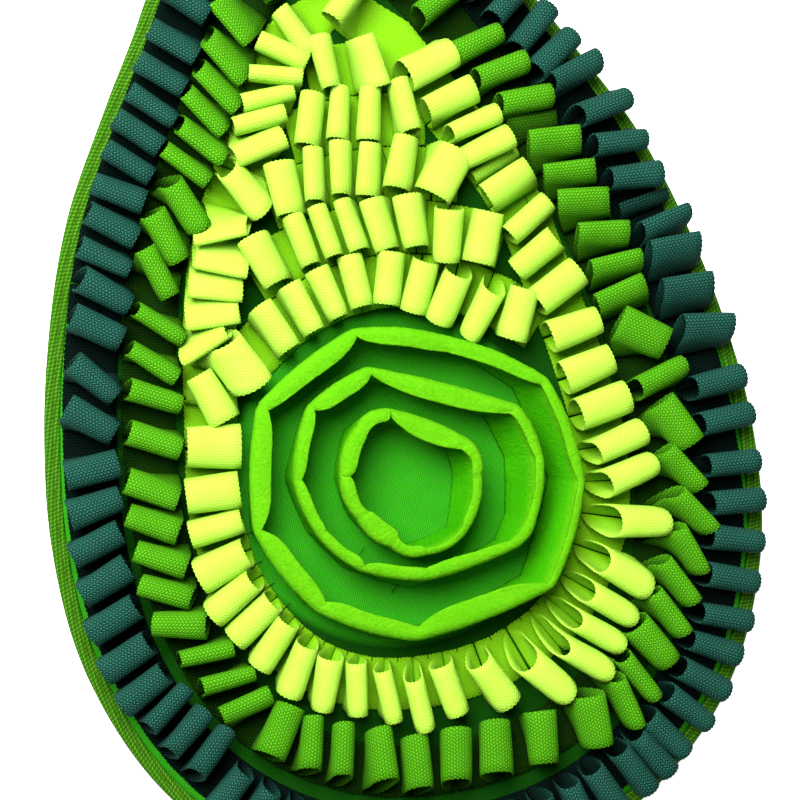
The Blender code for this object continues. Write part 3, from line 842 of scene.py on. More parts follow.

# %% [markdown]
# Little light gets in low among packed loops, so there the ribbon's colour is multiplied by a darker
# tone: painted shade. The rims of the felt catch the light, so there the felt is painted lighter: a
# painted highlight. The height above the floor is a good measure of both, so a third group turns it into a
# mask.

# %% The painted light group
def make_painted_light_group():
    """A mask for painted light: 0 low among the loops and 1 at their tops."""
    group, given, result = new_group(
        "painted_light_mask",
        [("Place", "Vector", None), ("Starts", "Float", 0.008), ("Ends", "Float", 0.018)],
        [("Lit", "Float")],
    )
    parts = add_node(group, "ShaderNodeSeparateXYZ")
    group.links.new(given["Place"], parts.inputs[0])
    above = calculate(group, "SUBTRACT", parts.outputs["Z"], given["Starts"])
    span = calculate(group, "SUBTRACT", given["Ends"], given["Starts"])
    group.links.new(clamped(group, calculate(group, "DIVIDE", above, span)), result["Lit"])
    return group


PAINTED_LIGHT_BY_HEIGHT = make_painted_light_group()
print("node group:", PAINTED_LIGHT_BY_HEIGHT.name)

# %% [markdown]
# ## Ribbon
# The ribbon is a coarse weave about 25 mm wide, in three dyes: a dark blue-green, a leaf green and
# a bright yellow-green. The shader stays in the material, rough and with almost no gloss, as matt
# polyester is. The helpers here start a finish and place the groups in it.

# %% Helpers that start a finish
CLOTH_GLOSS = 0.03


def place_group(tree, group, **values):
    """A group placed in a node tree. Each input is a socket to link, a colour or a plain number."""
    node = add_node(tree, "ShaderNodeGroup", node_tree=group)
    for label, value in values.items():
        socket = node.inputs[label.replace("_", " ")]
        if isinstance(value, (int, float)):
            socket.default_value = value
        elif isinstance(value, tuple):
            socket.default_value = (*value, 1) if len(value) == 3 and socket.type == "RGBA" else value
        else:
            tree.links.new(value, socket)
    return node


def new_finish(name, roughness):
    """A material with an empty Principled shader, ready for its groups."""
    finish = bpy.data.materials.new(name)
    finish.use_nodes = True
    tree = finish.node_tree
    shader = tree.nodes["Principled BSDF"]
    shader.inputs["Roughness"].default_value = roughness
    shader.inputs["Specular IOR Level"].default_value = CLOTH_GLOSS
    return finish, tree, shader


def bump_into(tree, shader, height, strength, distance):
    """Small relief: the height bends the shader's normal, and the distance is its depth in metres."""
    bump = add_node(tree, "ShaderNodeBump", values={"Strength": strength, "Distance": distance})
    tree.links.new(height, bump.inputs["Height"])
    tree.links.new(bump.outputs[0], shader.inputs["Normal"])


print("gloss of every cloth:", CLOTH_GLOSS)

# %% [markdown]
# One function makes the three ribbon finishes. Each has four colours: the deep and the light dye that
# it wanders between, a painted shade for the grooves beside the threads, and a painted highlight for
# the lit tops of the threads. The dark ribbon shows its threads the most, and the pale one hardly at all.

# %% Ribbon finishes
THREAD_PITCH_ALONG = 0.0013  # metres
THREAD_PITCH_ACROSS = 0.00085
THREAD_SLANT = 0.34
RIBBON_PAINTED_SHADE = (0.007, 0.021)  # heights in metres between which the painted shade low among the loops fades out


def ribbon_finish(name, dyes_and_painted_light, painted_shade_tone, groove_shade_share, thread_highlight_share, relief):
    """Coarse woven ribbon. Low among the loops its colour is multiplied by a darker tone: painted shade."""
    deep, light, groove_shade, thread = dyes_and_painted_light
    finish, tree, shader = new_finish(name, 0.8)
    place = add_node(tree, "ShaderNodeUVMap", uv_map="cloth").outputs[0]
    weave = place_group(tree, WEAVE, Place=place, Pitch_Along=THREAD_PITCH_ALONG,
                        Pitch_Across=THREAD_PITCH_ACROSS, Slant=THREAD_SLANT, Unevenness=0.5)
    over = weave.outputs["Over"]
    dye = place_group(tree, DYE, Place=place, Deep=deep, Light=light, Patch_Scale=70.0,
                      Thread_Mask=over, Thread_Share=0.3)
    # Painted shade: between the threads the colour is pulled towards the darker groove colour.
    shade = calculate(tree, "MULTIPLY", calculate(tree, "SUBTRACT", 1.0, over), groove_shade_share)
    colour = mix_colour(tree, shade, dye.outputs["Colour"], groove_shade)
    # Painted highlight: the tops of the threads are pulled towards the lighter thread colour.
    tops = calculate(tree, "MULTIPLY", calculate(tree, "POWER", over, 3.0), thread_highlight_share)
    colour = mix_colour(tree, tops, colour, thread)
    # Painted shade: low among the loops the colour is multiplied by a darker tone, which fades out towards
    # the tops.
    where = add_node(tree, "ShaderNodeTexCoord").outputs["Object"]
    starts, ends = RIBBON_PAINTED_SHADE
    painted_light_mask = place_group(tree, PAINTED_LIGHT_BY_HEIGHT, Place=where, Starts=starts, Ends=ends)
    painted_shade_colour = mix_colour(tree, 1.0, colour, painted_shade_tone, blend="MULTIPLY")
    colour = mix_colour(tree, painted_light_mask.outputs["Lit"], painted_shade_colour, colour)
    tree.links.new(colour, shader.inputs["Base Color"])
    rough = calculate(tree, "MULTIPLY_ADD", dye.outputs["Tone"], -0.15, 0.85)
    tree.links.new(rough, shader.inputs["Roughness"])
    bump_into(tree, shader, weave.outputs["Height"], 1.0, relief)
    return finish


# Colours: deep dye, light dye, painted shade of the grooves, painted highlight of the thread tops
PALE_DYES_AND_PAINTED_LIGHT = ((0.33, 0.59, 0.042), (0.39, 0.66, 0.088), (0.24, 0.50, 0.014), (0.39, 0.66, 0.088))
MID_DYES_AND_PAINTED_LIGHT = ((0.042, 0.200, 0.003), (0.080, 0.320, 0.006), (0.013, 0.085, 0.001), (0.110, 0.400, 0.012))
DARK_DYES_AND_PAINTED_LIGHT = ((0.007, 0.038, 0.026), (0.012, 0.074, 0.052), (0.002, 0.012, 0.009), (0.022, 0.125, 0.088))
# The third value of each finish is the darker tone that paints shade low among the loops.
PALE_RIBBON = ribbon_finish("pale ribbon", PALE_DYES_AND_PAINTED_LIGHT, (0.42, 0.62, 0.10), 0.5, 0.0, 0.00018)
MID_RIBBON = ribbon_finish("middle green ribbon", MID_DYES_AND_PAINTED_LIGHT, (0.08, 0.10, 0.12), 0.65, 0.4, 0.0003)
DARK_RIBBON = ribbon_finish("dark ribbon", DARK_DYES_AND_PAINTED_LIGHT, (0.07, 0.09, 0.09), 0.7, 0.6, 0.0003)
print("ribbon finishes:", PALE_RIBBON.name, MID_RIBBON.name, DARK_RIBBON.name)

# %% [markdown]
# ## The rows on the mat
# The model cuts each long row into lengths, but a real row is one ribbon. So one piece takes the
# place of all the lengths of its row, and each of the five neck rows takes the place of its own.

# %% Rows of ribbon on the mat
def dress(piece, nodes):
    """The piece rides on the mat and stands for the plain solids, which are hidden."""
    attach(piece, "root")
    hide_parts(*nodes)
    return piece


def nodes_like(stem):
    """The model's solids whose names start like this."""
    return sorted(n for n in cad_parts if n.startswith(stem))


ROWS = (
    ("dark_row", "dark", DARK_ROW, DARK_RIBBON, "dark_ribbon", 11),
    ("mid_row", "middle green", MID_ROW, MID_RIBBON, "mid_ribbon", 23),
    ("pale_row", "pale", PALE_ROW, PALE_RIBBON, "pale_ribbon", 37),
)
for name, title, row, finish, stem, seed in ROWS:
    piece, length = ribbon_row(name, title, lay_out_row(row), finish, seed)
    dress(piece, nodes_like(stem + "_"))
for number, arc in enumerate(NECK_ROWS, 1):
    name = f"neck_row_{number}"
    piece, length = ribbon_row(name, f"neck {number}", lay_out_neck(arc), PALE_RIBBON, 50 + number)
    dress(piece, [f"neck_ribbon_{number}"])

# %% [markdown]
# ## Felt rings
# The middle of the mat is a rosette: three strips of thick felt stand on edge in rings, tacked at
# a few corners, with their tops curled inwards between the corners. A curve with a bevel would keep
# one section all the way round, while these walls lean and curl differently at each corner. So the
# tables here describe each corner, and the wall is drawn place by place, where the model's rings
# stand.

# %% The rings of felt
FELT_THICK = 3.0
FELT_TALL = 24.0
FELT_FLOOR = 4.3
ROSETTE_CENTRE = (-6.4, 1.1)
FELT_RINGS = (
    # bow of the sides, then per corner: bearing, reach of the top, curl of the next side, curl here,
    # reach of the foot
    ("felt_ring_outer", 0.035, (
        (102.5, 76.2, 7.4, 1.8, 73.0), (144.5, 81.6, 7.6, 3.0, 73.5), (187.2, 78.2, 8.6, 1.7, 71.5),
        (222.7, 75.2, 7.2, 4.0, 72.0), (260.9, 73.6, 10.5, 5.0, 75.0), (312.6, 82.2, 2.8, 2.2, 77.5),
        (350.4, 80.1, 4.2, 1.6, 75.0), (388.0, 78.5, 6.4, 3.4, 72.5), (427.0, 68.5, 7.0, 5.5, 71.0),
    )),
    ("felt_ring_middle", 0.03, (
        (103.4, 57.4, 6.6, 1.8, 53.5), (135.3, 61.1, 4.6, 1.6, 53.5), (169.1, 56.4, 3.8, 2.0, 52.0),
        (199.0, 51.5, 3.8, 3.0, 48.0), (228.0, 48.0, 4.6, 1.2, 47.5), (267.0, 45.5, 5.0, 3.8, 51.0),
        (318.1, 56.8, 3.6, 3.4, 57.0), (333.0, 59.3, 3.2, 3.2, 56.5), (361.8, 61.0, 4.2, 3.0, 54.6),
        (386.1, 59.8, 8.0, 4.4, 53.2),
    )),
    ("felt_ring_inner", 0.08, (
        (102.1, 35.7, 5.0, 0.8, 32.0), (127.6, 37.0, 6.0, 4.8, 33.0), (165.6, 34.7, 4.8, 1.8, 28.5),
        (203.0, 31.6, 7.5, 5.5, 27.5), (240.0, 31.9, 3.5, 5.0, 30.0), (268.0, 33.6, 1.6, 1.4, 33.0),
        (306.7, 32.8, 3.0, 1.7, 35.0), (355.0, 30.8, 4.0, 3.0, 28.5), (386.6, 31.3, 8.5, 5.0, 30.5),
    )),
)
print("corners of each ring:", [len(sides) for _, _, sides in FELT_RINGS])

# %% [markdown]
# A strip's section is a wall that leans from its foot to its top and rolls over there. It is drawn
# once, as shares of the way out, the height and the curl, and every place along the ring uses it.

# %% The section of a felt wall
WALL_STEPS = 22
LEAN_SPAN = 4.0  # mm that the top lies inside the foot, from which the wall is bent the whole way
FELT_SECTION = (  # share of the way out, of the height, of the curl
    (0.00, 0.00, 0.00),
    (0.25, 0.25, 0.00),
    (0.52, 0.52, 0.00),
    (0.80, 0.78, 0.00),
    (0.97, 0.92, 0.00),
    (1.00, 0.99, 0.10),
    (1.00, 1.00, 0.40),
    (1.00, 0.985, 1.00),
)


def section_line(foot, top, inward, curl, tall):
    """The middle line of a felt wall at one place, from the floor to the curled rim."""
    table = np.array(FELT_SECTION)
    leans_in = np.clip((top - foot) @ inward / LEAN_SPAN, 0, 1)
    way_out = table[:, :1] + ((1 - (1 - table[:, :1]) ** 2) - table[:, :1]) * leans_in
    flat = foot + (top - foot) * way_out + inward * (curl * table[:, 2:])
    line = np.concatenate([flat, FELT_FLOOR + tall * table[:, 1:2]], axis=1)
    run = distances_along(line)
    return eased(points_at(line, run, np.linspace(0, run[-1], WALL_STEPS)))


print("points in the wall:", WALL_STEPS)

# %% [markdown]
# Between two corners a strip runs nearly straight, and at a corner it is creased, because a tack
# pulls it in there. So each side of a ring is divided evenly, and every place on it gets its top,
# its foot, its curl and how deeply it is creased.

# %% Where the wall of a ring stands
SIDE_STEPS = 36
STRAIGHT_FOOT = 0.8  # how straight the foot runs between its corners, from a circle to a straight line
CREASE_WIDE = 2.6  # stations


def ring_places(side_bow, sides):
    """The top, the foot, the curl and the crease of the wall at each place round a ring."""
    following = sides[1:] + ((sides[0][0] + 360, *sides[0][1:]),)
    tops, feet, curls, creases = [], [], [], []
    for side, next_side in zip(sides, following):
        bearing, top, side_curl, first_curl, foot = side
        next_bearing, next_top, _, last_curl, next_foot = next_side
        here, there = at_bearing(bearing, top), at_bearing(next_bearing, next_top)
        first_foot, last_foot = at_bearing(bearing, foot), at_bearing(next_bearing, next_foot)
        for share in np.arange(SIDE_STEPS) / SIDE_STEPS:
            bulge = math.sin(math.pi * share)
            tops.append((here + (there - here) * share) * (1 + side_bow * bulge))
            foot_bearing = bearing + (next_bearing - bearing) * share
            on_circle = at_bearing(foot_bearing, foot + (next_foot - foot) * share)
            on_chord = first_foot + (last_foot - first_foot) * share
            feet.append(np.array(ROSETTE_CENTRE) + on_circle + (on_chord - on_circle) * STRAIGHT_FOOT)
            corner = first_curl + (last_curl - first_curl) * share
            full = 1 - abs(2 * share - 1) ** 4
            creases.append(math.exp(-((min(share, 1 - share) * SIDE_STEPS / CREASE_WIDE) ** 2)))
            curls.append(corner + (side_curl - corner) * full)
    return np.array(tops), feet, np.array(curls), np.array(creases)


print("stations along each side of a ring:", SIDE_STEPS)

# %% [markdown]
# The wall is swept round through these places. Its curl, its height and its face wander a little,
# and each corner dips at the rim.

# %% Sweeping the wall round
CORNER_SOFTNESS = 2
CREASE_DEEP = 0.5
CURL_UNEVEN = (0.5, 14)  # size, and how many stations a wave takes
TALL_UNEVEN = (0.7, 20)
WALL_UNEVEN = (0.25, 9)
LEAST_CURL = 0.2


def uneven(rng, count, size_and_wave):
    """A closed uneven line of this size and wavelength."""
    size, wave = size_and_wave
    return size * smooth_noise(rng, count, wave)


def soften_round(values, reach):
    """The mean of each value of a closed line with its neighbours on both sides."""
    shifted = [np.roll(values, k, axis=0) for k in range(-reach, reach + 1)]
    return np.mean(shifted, axis=0)


def felt_grid(side_bow, sides, rng):
    """The middle surface of a ring, as a grid of stations by steps up the wall."""
    tops, feet, curls, creases = ring_places(side_bow, sides)
    tops = soften_round(tops, CORNER_SOFTNESS)
    inwards = -tops / np.linalg.norm(tops, axis=1, keepdims=True)
    count = len(tops)
    curls = np.maximum(curls + uneven(rng, count, CURL_UNEVEN), LEAST_CURL)
    tall = FELT_TALL + uneven(rng, count, TALL_UNEVEN)
    grid = np.array([section_line(*place) for place in zip(feet, tops, inwards, curls, tall)])
    for k in range(WALL_STEPS):
        grid[:, k, 2] += uneven(rng, count, WALL_UNEVEN) * k / WALL_STEPS
        grid[:, k, 2] -= CREASE_DEEP * creases * (k / WALL_STEPS) ** 3
    return grid


print("a line softened round:", soften_round(np.array([0.0, 0.0, 3.0, 0.0, 0.0]), 1))

# %% [markdown]
# Last, the wall gets the two faces and the cut edge of thick felt, and every point moves a hair in
# or out, as felt is never smooth.

# %% The faces and the cut edge of the felt
FUZZ = 0.16
FOOT_SUNK = 0.2
MOST_CURL = 10.0
CUT_EDGE = (  # shares of half the felt: beside the middle of the cut edge, and beyond it
    (0.98, 0.18),
    (0.78, 0.42),
    (0.0, 0.5),
    (-0.78, 0.42),
    (-0.98, 0.18),
)


def felt_rings_of_points(grid, rng):
    """At each station a ring of points: up the outer face, over the cut edge and down inside."""
    padded = np.concatenate([grid[-2:], grid, grid[:2]])
    along = np.gradient(padded, axis=0)[2:-2]
    up = np.gradient(padded, axis=1)[2:-2]
    normal = np.cross(along, up)
    normal /= np.linalg.norm(normal, axis=2, keepdims=True)
    half = FELT_THICK / 2
    outer, inner = grid + normal * half, grid - normal * half
    top_dir = up[:, -1] / np.linalg.norm(up[:, -1], axis=1, keepdims=True)
    rim = []
    for beside, beyond in CUT_EDGE:
        rim.append(grid[:, -1] + normal[:, -1] * half * beside + top_dir * half * beyond)
    rings = np.concatenate([outer, np.stack(rim, axis=1), inner[:, ::-1]], axis=1)
    fuzz = rng.uniform(-FUZZ, FUZZ, rings.shape[:2])
    up_the_wall = list(range(WALL_STEPS))
    owners = up_the_wall + [WALL_STEPS - 1] * len(CUT_EDGE) + up_the_wall[::-1]
    outwards = rings - grid[:, owners]
    outwards /= np.linalg.norm(outwards, axis=2, keepdims=True)
    rings = rings + outwards * fuzz[..., None]
    rings[..., 2] = np.maximum(rings[..., 2], FELT_FLOOR - FOOT_SUNK)
    return rings


def felt_ring(name, side_bow, sides, finish, seed):
    """A standing ring of felt, and the length and the width of its strip in metres."""
    rng = repeatable(seed)
    grid = felt_grid(side_bow, sides, rng)
    rings = felt_rings_of_points(grid, rng)
    sections, corners = rings.shape[:2]
    faces, s, c = tube_faces(sections, corners, True)
    run = distances_along(np.concatenate([grid, grid[:1]])[:, WALL_STEPS // 2]) * MM
    place = np.linspace(0, 1, corners + 1) * 2 * (FELT_TALL + MOST_CURL) * MM
    uv = strip_uv(run, place, s, c)[:, ::-1].reshape(-1, 2)
    piece = new_piece(name, rings, faces[:, ::-1], finish, uv)
    wall = np.linalg.norm(np.diff(grid, axis=1), axis=2).sum(axis=1).mean()
    return piece, run[-1], wall * MM


print("the felt is", FELT_THICK, "mm thick")

# %% [markdown]
# Needled felt has no weave. Its face is a tangle of fibres that stands up in tufts, so a fine noise
# gives both the colour of the tufts and their relief. Its rims are painted lighter and yellower than
# its walls, a painted highlight where the light falls on the tops, and the painted light group says where.

# %% The finish of the felt
FELT_GLOSS = 0.02
LIT_RIM_FROM = 0.019  # heights above the floor between which the felt is painted lighter, a painted highlight on its rims
LIT_RIM_TO = 0.027
TUFT_CONTRAST = 2.2
TUFT_LEVEL = -0.6


def felt_finish():
    """Needled felt: a matt face of tangled fibres, lighter where the tufts stand up, with a painted
    highlight on its rims.
    """
    finish, tree, shader = new_finish("green felt", 0.95)
    shader.inputs["Specular IOR Level"].default_value = FELT_GLOSS
    place = add_node(tree, "ShaderNodeTexCoord").outputs["Object"]
    tufts = add_node(tree, "ShaderNodeTexNoise",
                     values={"Scale": 650.0, "Detail": 6.0, "Roughness": 0.75})
    tree.links.new(place, tufts.inputs["Vector"])
    tuft = clamped(tree, calculate(tree, "MULTIPLY_ADD", tufts.outputs[0], TUFT_CONTRAST, TUFT_LEVEL))
    wall = place_group(tree, DYE, Place=place, Deep=(0.020, 0.26, 0.0006), Light=(0.050, 0.38, 0.0015),
                       Patch_Scale=90.0, Thread_Mask=tuft, Thread_Share=0.7)
    # Painted highlight: the rims take a lighter, yellower copy of the felt colour, as if lit from above.
    lit_rim = place_group(tree, DYE, Place=place, Deep=(0.050, 0.31, 0.001), Light=(0.145, 0.48, 0.008),
                         Patch_Scale=90.0, Thread_Mask=tuft, Thread_Share=0.7)
    painted_light_mask = place_group(tree, PAINTED_LIGHT_BY_HEIGHT, Place=place, Starts=LIT_RIM_FROM, Ends=LIT_RIM_TO)
    colour = mix_colour(tree, painted_light_mask.outputs["Lit"], wall.outputs["Colour"], lit_rim.outputs["Colour"])
    tree.links.new(colour, shader.inputs["Base Color"])
    bump_into(tree, shader, tufts.outputs[0], 1.0, 0.0013)
    return finish


FELT = felt_finish()
print("felt finish:", FELT.name)

# %% [markdown]
# The three rings are made alike, each from its own table. Each takes the place of the plain ring
# of its name, and the width and length of its strip come out as real felt would be cut.

# %% The three rings on the mat
for seed, (name, side_bow, sides) in enumerate(FELT_RINGS):
    piece, length, wide = felt_ring("dressed_" + name, side_bow, sides, FELT, 70 + seed)
    dress(piece, [name])
    print(piece.name, "is a strip of", round(length, 3), "by", round(wide, 3), "m")

# %% [markdown]
# ## Base cloth
# The base is a stout woven cloth, flat on the floor. A filled outline with a Solidify modifier
# would be quite flat, but the stitches of the rows pull the real upper face down here and there.
# So the cloth is made of rings that shrink from the edge towards the middle, which follow the
# outline of the mat and have enough points for a little unevenness.

# %% The base cloth
BINDING_WIDE = 7.4
UNDER_BINDING = 1.0  # how far the base reaches under the binding's inner edge
EDGE_STATIONS = 480
BASE_RINGS = 60
LOWER_EVERY = 6  # the underside is flat, so it needs only every sixth ring
INNERMOST = 0.02  # size of the smallest ring, as a share of the rim
BASE_WAVE = 14
MOST_DROP = 0.35
RIM_DROP = 1.6
RIM_LOW = 1.5
UNDERSIDE = 0.05


def make_base(finish):
    """The base cloth. Its UV map holds how far in from the rim and out from the rosette it is."""
    points, outward, _, _ = edge_frames(EDGE_STATIONS)
    rim = points - outward * (BINDING_WIDE - UNDER_BINDING)
    middle = rim.mean(axis=0)
    rng = repeatable(5)
    shares = np.linspace(1, INNERMOST, BASE_RINGS)
    top = np.array([middle + (rim - middle) * share for share in shares])
    waves = np.array([smooth_noise(rng, EDGE_STATIONS, BASE_WAVE) for _ in shares])
    drop = (0.5 + 0.5 * waves) * MOST_DROP
    drop[0] = RIM_DROP
    upper = np.concatenate([top, (BASE_THICK - drop)[..., None]], axis=2)
    under = top[::LOWER_EVERY]
    lower = np.concatenate([under, np.full((*under.shape[:2], 1), UNDERSIDE)], axis=2)
    lower[0, :, 2] = RIM_LOW
    rings = np.concatenate([lower[::-1], upper])
    count, n = len(rings), EDGE_STATIONS
    corners = rings.reshape(-1, 3)
    s, c = np.meshgrid(np.arange(count - 1), np.arange(n), indexing="ij")
    d = (c + 1) % n
    quads = np.stack([s * n + c, s * n + d, (s + 1) * n + d, (s + 1) * n + c], axis=2).reshape(-1, 4)
    faces = quads.tolist()
    faces.append(list(range(n))[::-1])
    faces.append(list(range((count - 1) * n, count * n)))
    inset = np.array([(1 - share) * np.linalg.norm(rim - middle, axis=1) for share in shares])
    insets = np.concatenate([inset[::LOWER_EVERY][::-1], inset]).reshape(-1)
    from_rosette = np.linalg.norm(corners[:, :2] - np.array(ROSETTE_CENTRE), axis=1)
    places = np.stack([insets, from_rosette], axis=1) * MM
    uv = [places[k].tolist() for face in faces for k in face]
    return new_piece("dressed_base", corners, faces, finish, uv)


print("rings of the base cloth:", BASE_RINGS)

# %% [markdown]
# The cloth shows inside the rosette and in a narrow line along the binding. Between them the rows
# cover it, and what shows through is in deep shade. So its colour is multiplied there by a dark
# tone, on the upper face alone, and the UV map says where.

# %% The finish of the base cloth
COVERED_FROM_RIM = 0.004
COVERED_FROM_CENTRE = 0.077
COVER_FADE = 0.004
UNDER_ROWS_PAINTED_SHADE = (0.16, 0.20, 0.20)


def plain_cloth_finish(name, deep, light, groove_shade, pitch, roughness):
    """Flat woven cloth whose threads run along and across the mat, with painted shade between the threads
    and deeper painted shade under the rows.
    """
    finish, tree, shader = new_finish(name, roughness)
    place = add_node(tree, "ShaderNodeTexCoord").outputs["Object"]
    weave = place_group(tree, WEAVE, Place=place, Pitch_Along=pitch, Pitch_Across=pitch / 2)
    dye = place_group(tree, DYE, Place=place, Deep=deep, Light=light, Patch_Scale=45.0,
                      Thread_Mask=weave.outputs["Over"], Thread_Share=0.3)
    # Painted shade: between the threads the colour goes to the darker groove colour.
    colour = mix_colour(tree, weave.outputs["Over"], groove_shade, dye.outputs["Colour"])
    parts = add_node(tree, "ShaderNodeSeparateXYZ")
    tree.links.new(add_node(tree, "ShaderNodeUVMap", uv_map="cloth").outputs[0], parts.inputs[0])
    above = add_node(tree, "ShaderNodeSeparateXYZ")
    tree.links.new(place, above.inputs[0])
    covered = calculate(tree, "GREATER_THAN", above.outputs["Z"], BASE_THICK * MM / 2)
    for way, edge in (("X", COVERED_FROM_RIM), ("Y", COVERED_FROM_CENTRE)):
        past = calculate(tree, "SUBTRACT", parts.outputs[way], edge)
        past = clamped(tree, calculate(tree, "MULTIPLY", past, 1 / COVER_FADE))
        covered = calculate(tree, "MULTIPLY", past, covered)
    # Painted shade: under the rows the colour is multiplied by a dark tone, on the upper face alone.
    painted_shade_colour = mix_colour(tree, 1.0, colour, UNDER_ROWS_PAINTED_SHADE, blend="MULTIPLY")
    colour = mix_colour(tree, covered, colour, painted_shade_colour)
    tree.links.new(colour, shader.inputs["Base Color"])
    bump_into(tree, shader, weave.outputs["Height"], 0.7, 0.0002)
    return finish


# The third colour is the painted shade between the threads.
BASE_CLOTH = plain_cloth_finish("base cloth", (0.020, 0.25, 0.006), (0.042, 0.36, 0.014),
                                (0.011, 0.15, 0.002), 0.0009, 0.85)
base = dress(make_base(BASE_CLOTH), ["base_cloth"])
print("base cloth:", [round(v, 3) for v in base.dimensions])

# %% [markdown]
# ## Binding
# The edge is wrapped in a strip of twill that is folded over it and sewn through. A curve with
# this section as its bevel object would be quite even. So the binding is one closed strip of a
# C-shaped section, with a groove where its stitches pull it down, and small wrinkles that wander
# all along it.

# %% The binding
BINDING_STATIONS = 720
SLOW_WAVE = 26  # stations that a wave takes
QUICK_WAVE = 5
FINE_WAVE = 2.2
SLOW_SIZE = 0.12
QUICK_SIZE = 0.16
FINE_SIZE = 0.1
UPPER_FROM = 2.4  # height from which the section is its upper leaf
UPPER_FADE = 1.5
INNER_EDGE = 6.6
INNER_WANDER = 0.15
SECTION_GAP = 1.5  # the step on the UV map where the section closes
BINDING_SECTION = (  # distance in from the edge, height
    (7.46, 3.1), (7.46, 3.75), (7.05, 4.15), (6.23, 4.35), (5.41, 4.35), (4.76, 4.15), (4.39, 3.85),
    (4.02, 4.15), (3.36, 4.4), (2.46, 4.45), (1.56, 4.3), (0.82, 3.9), (0.29, 3.2), (0, 2.2),
    (0.12, 1.2), (0.49, 0.45), (1.15, 0.06), (2.13, 0.0), (3.61, 0.0), (4.35, 0.25), (5.08, 0.0),
    (7.05, 0.0), (7.46, 0.3), (7.46, 1.0), (1.64, 1.3), (1.07, 2.2), (1.64, 2.9),
)


def make_binding(finish):
    """The binding as one closed strip, and its length in metres."""
    points, outward, round_to, whole = edge_frames(BINDING_STATIONS)
    section = np.array(BINDING_SECTION)
    rng = repeatable(8)
    slow = smooth_noise(rng, BINDING_STATIONS, SLOW_WAVE)
    quick = smooth_noise(rng, BINDING_STATIONS, QUICK_WAVE)
    fine = smooth_noise(rng, BINDING_STATIONS, FINE_WAVE)
    rings = []
    for s in range(BINDING_STATIONS):
        inset, height = section[:, 0].copy(), section[:, 1].copy()
        upper = np.clip((height - UPPER_FROM) / UPPER_FADE, 0, 1)
        crown = np.sin(np.clip(inset / BINDING_WIDE, 0, 1) * math.pi)
        wrinkle = (QUICK_SIZE * quick[s] + FINE_SIZE * fine[s]) * crown
        height += upper * (SLOW_SIZE * slow[s] + wrinkle)
        inset += INNER_WANDER * slow[s] * (inset > INNER_EDGE)
        flat = points[s] - outward[s] * inset[:, None]
        rings.append(np.concatenate([flat, np.maximum(height, 0)[:, None]], axis=1))
    rings = np.array(rings)
    faces, s, c = tube_faces(BINDING_STATIONS, len(section), True)
    run = np.append(round_to, whole) * MM
    wide = distances_along(section)
    wide = np.append(wide, wide[-1] + SECTION_GAP) * MM
    uv = strip_uv(run, wide, s, c)[:, ::-1].reshape(-1, 2)
    return new_piece("binding", rings, faces[:, ::-1], finish, uv), whole * MM


print("points in the binding's section:", len(BINDING_SECTION))

# %% [markdown]
# Twill is woven so that each thread passes a step further on than the one before, which makes fine
# slanting ribs. The weave group gives them when its place is turned by about half a right angle.

# %% The finish of the binding
TWILL_SLANT = math.radians(50)
TWILL_GROOVE_SHADE = (0.015, 0.075, 0.001)


def twill_finish():
    """Twill in an olive green."""
    finish, tree, shader = new_finish("twill binding", 0.8)
    place = add_node(tree, "ShaderNodeUVMap", uv_map="cloth").outputs[0]
    slant = add_node(tree, "ShaderNodeMapping")
    slant.inputs["Rotation"].default_value = (0, 0, TWILL_SLANT)
    tree.links.new(place, slant.inputs["Vector"])
    weave = place_group(tree, WEAVE, Place=slant.outputs[0], Pitch_Along=0.0011, Pitch_Across=0.0016)
    dye = place_group(tree, DYE, Place=place, Deep=(0.030, 0.130, 0.003), Light=(0.075, 0.220, 0.012),
                      Patch_Scale=40.0, Thread_Mask=weave.outputs["Over"], Thread_Share=0.3)
    # Painted shade: between the threads the colour goes to the darker groove colour.
    colour = mix_colour(tree, weave.outputs["Over"], TWILL_GROOVE_SHADE, dye.outputs["Colour"])
    tree.links.new(colour, shader.inputs["Base Color"])
    bump_into(tree, shader, weave.outputs["Height"], 0.6, 0.0003)
    return finish


TWILL = twill_finish()
binding, binding_length = make_binding(TWILL)
dress(binding, nodes_like("edge_binding_"))
print("binding:", round(binding_length, 3), "m long")

# %% [markdown]
# ## Thread
# Every row is sewn to the base by hand, so thread shows in a few places: a short stitch over the
# inner edge of the pale ribbon at each fold, loose ends in the rosette and in the neck, and the
# even row of machine stitches that holds the binding down. A curve with a round bevel would do for
# one stitch, but there are hundreds of them. So a stitch is a thin round tube along a few points,
# and all the stitches of one kind are one mesh.

# %% Making thread
THREAD_THICK = 0.42
THREAD_SIDES = 6


def thread_tube(points):
    """The rings of a thin round tube along a line of points, for new_piece."""
    points = np.array(points, float)
    along = np.gradient(points, axis=0)
    along /= np.linalg.norm(along, axis=1, keepdims=True)
    side = np.cross(along, (0.0, 0.0, 1.0))
    upright = np.linalg.norm(side, axis=1) < 1e-6
    side[upright] = (1.0, 0.0, 0.0)
    side /= np.linalg.norm(side, axis=1, keepdims=True)
    over = np.cross(side, along)
    turns = np.arange(THREAD_SIDES) * 2 * math.pi / THREAD_SIDES
    ring = side[:, None] * np.cos(turns)[:, None] + over[:, None] * np.sin(turns)[:, None]
    return points[:, None] + ring * THREAD_THICK / 2


def thread_piece(name, lines, finish):
    """One piece that holds a tube along each of these lines."""
    corners, faces = [], []
    for line in lines:
        rings = thread_tube(line)
        start = len(corners)
        quads, _, _ = tube_faces(len(rings), THREAD_SIDES, False)
        faces += (quads + start).tolist()
        last = start + (len(rings) - 1) * THREAD_SIDES
        faces.append([start + k for k in range(THREAD_SIDES)])
        faces.append([last + k for k in range(THREAD_SIDES)][::-1])
        corners += rings.reshape(-1, 3).tolist()
    return new_piece(name, np.array(corners), faces, finish)


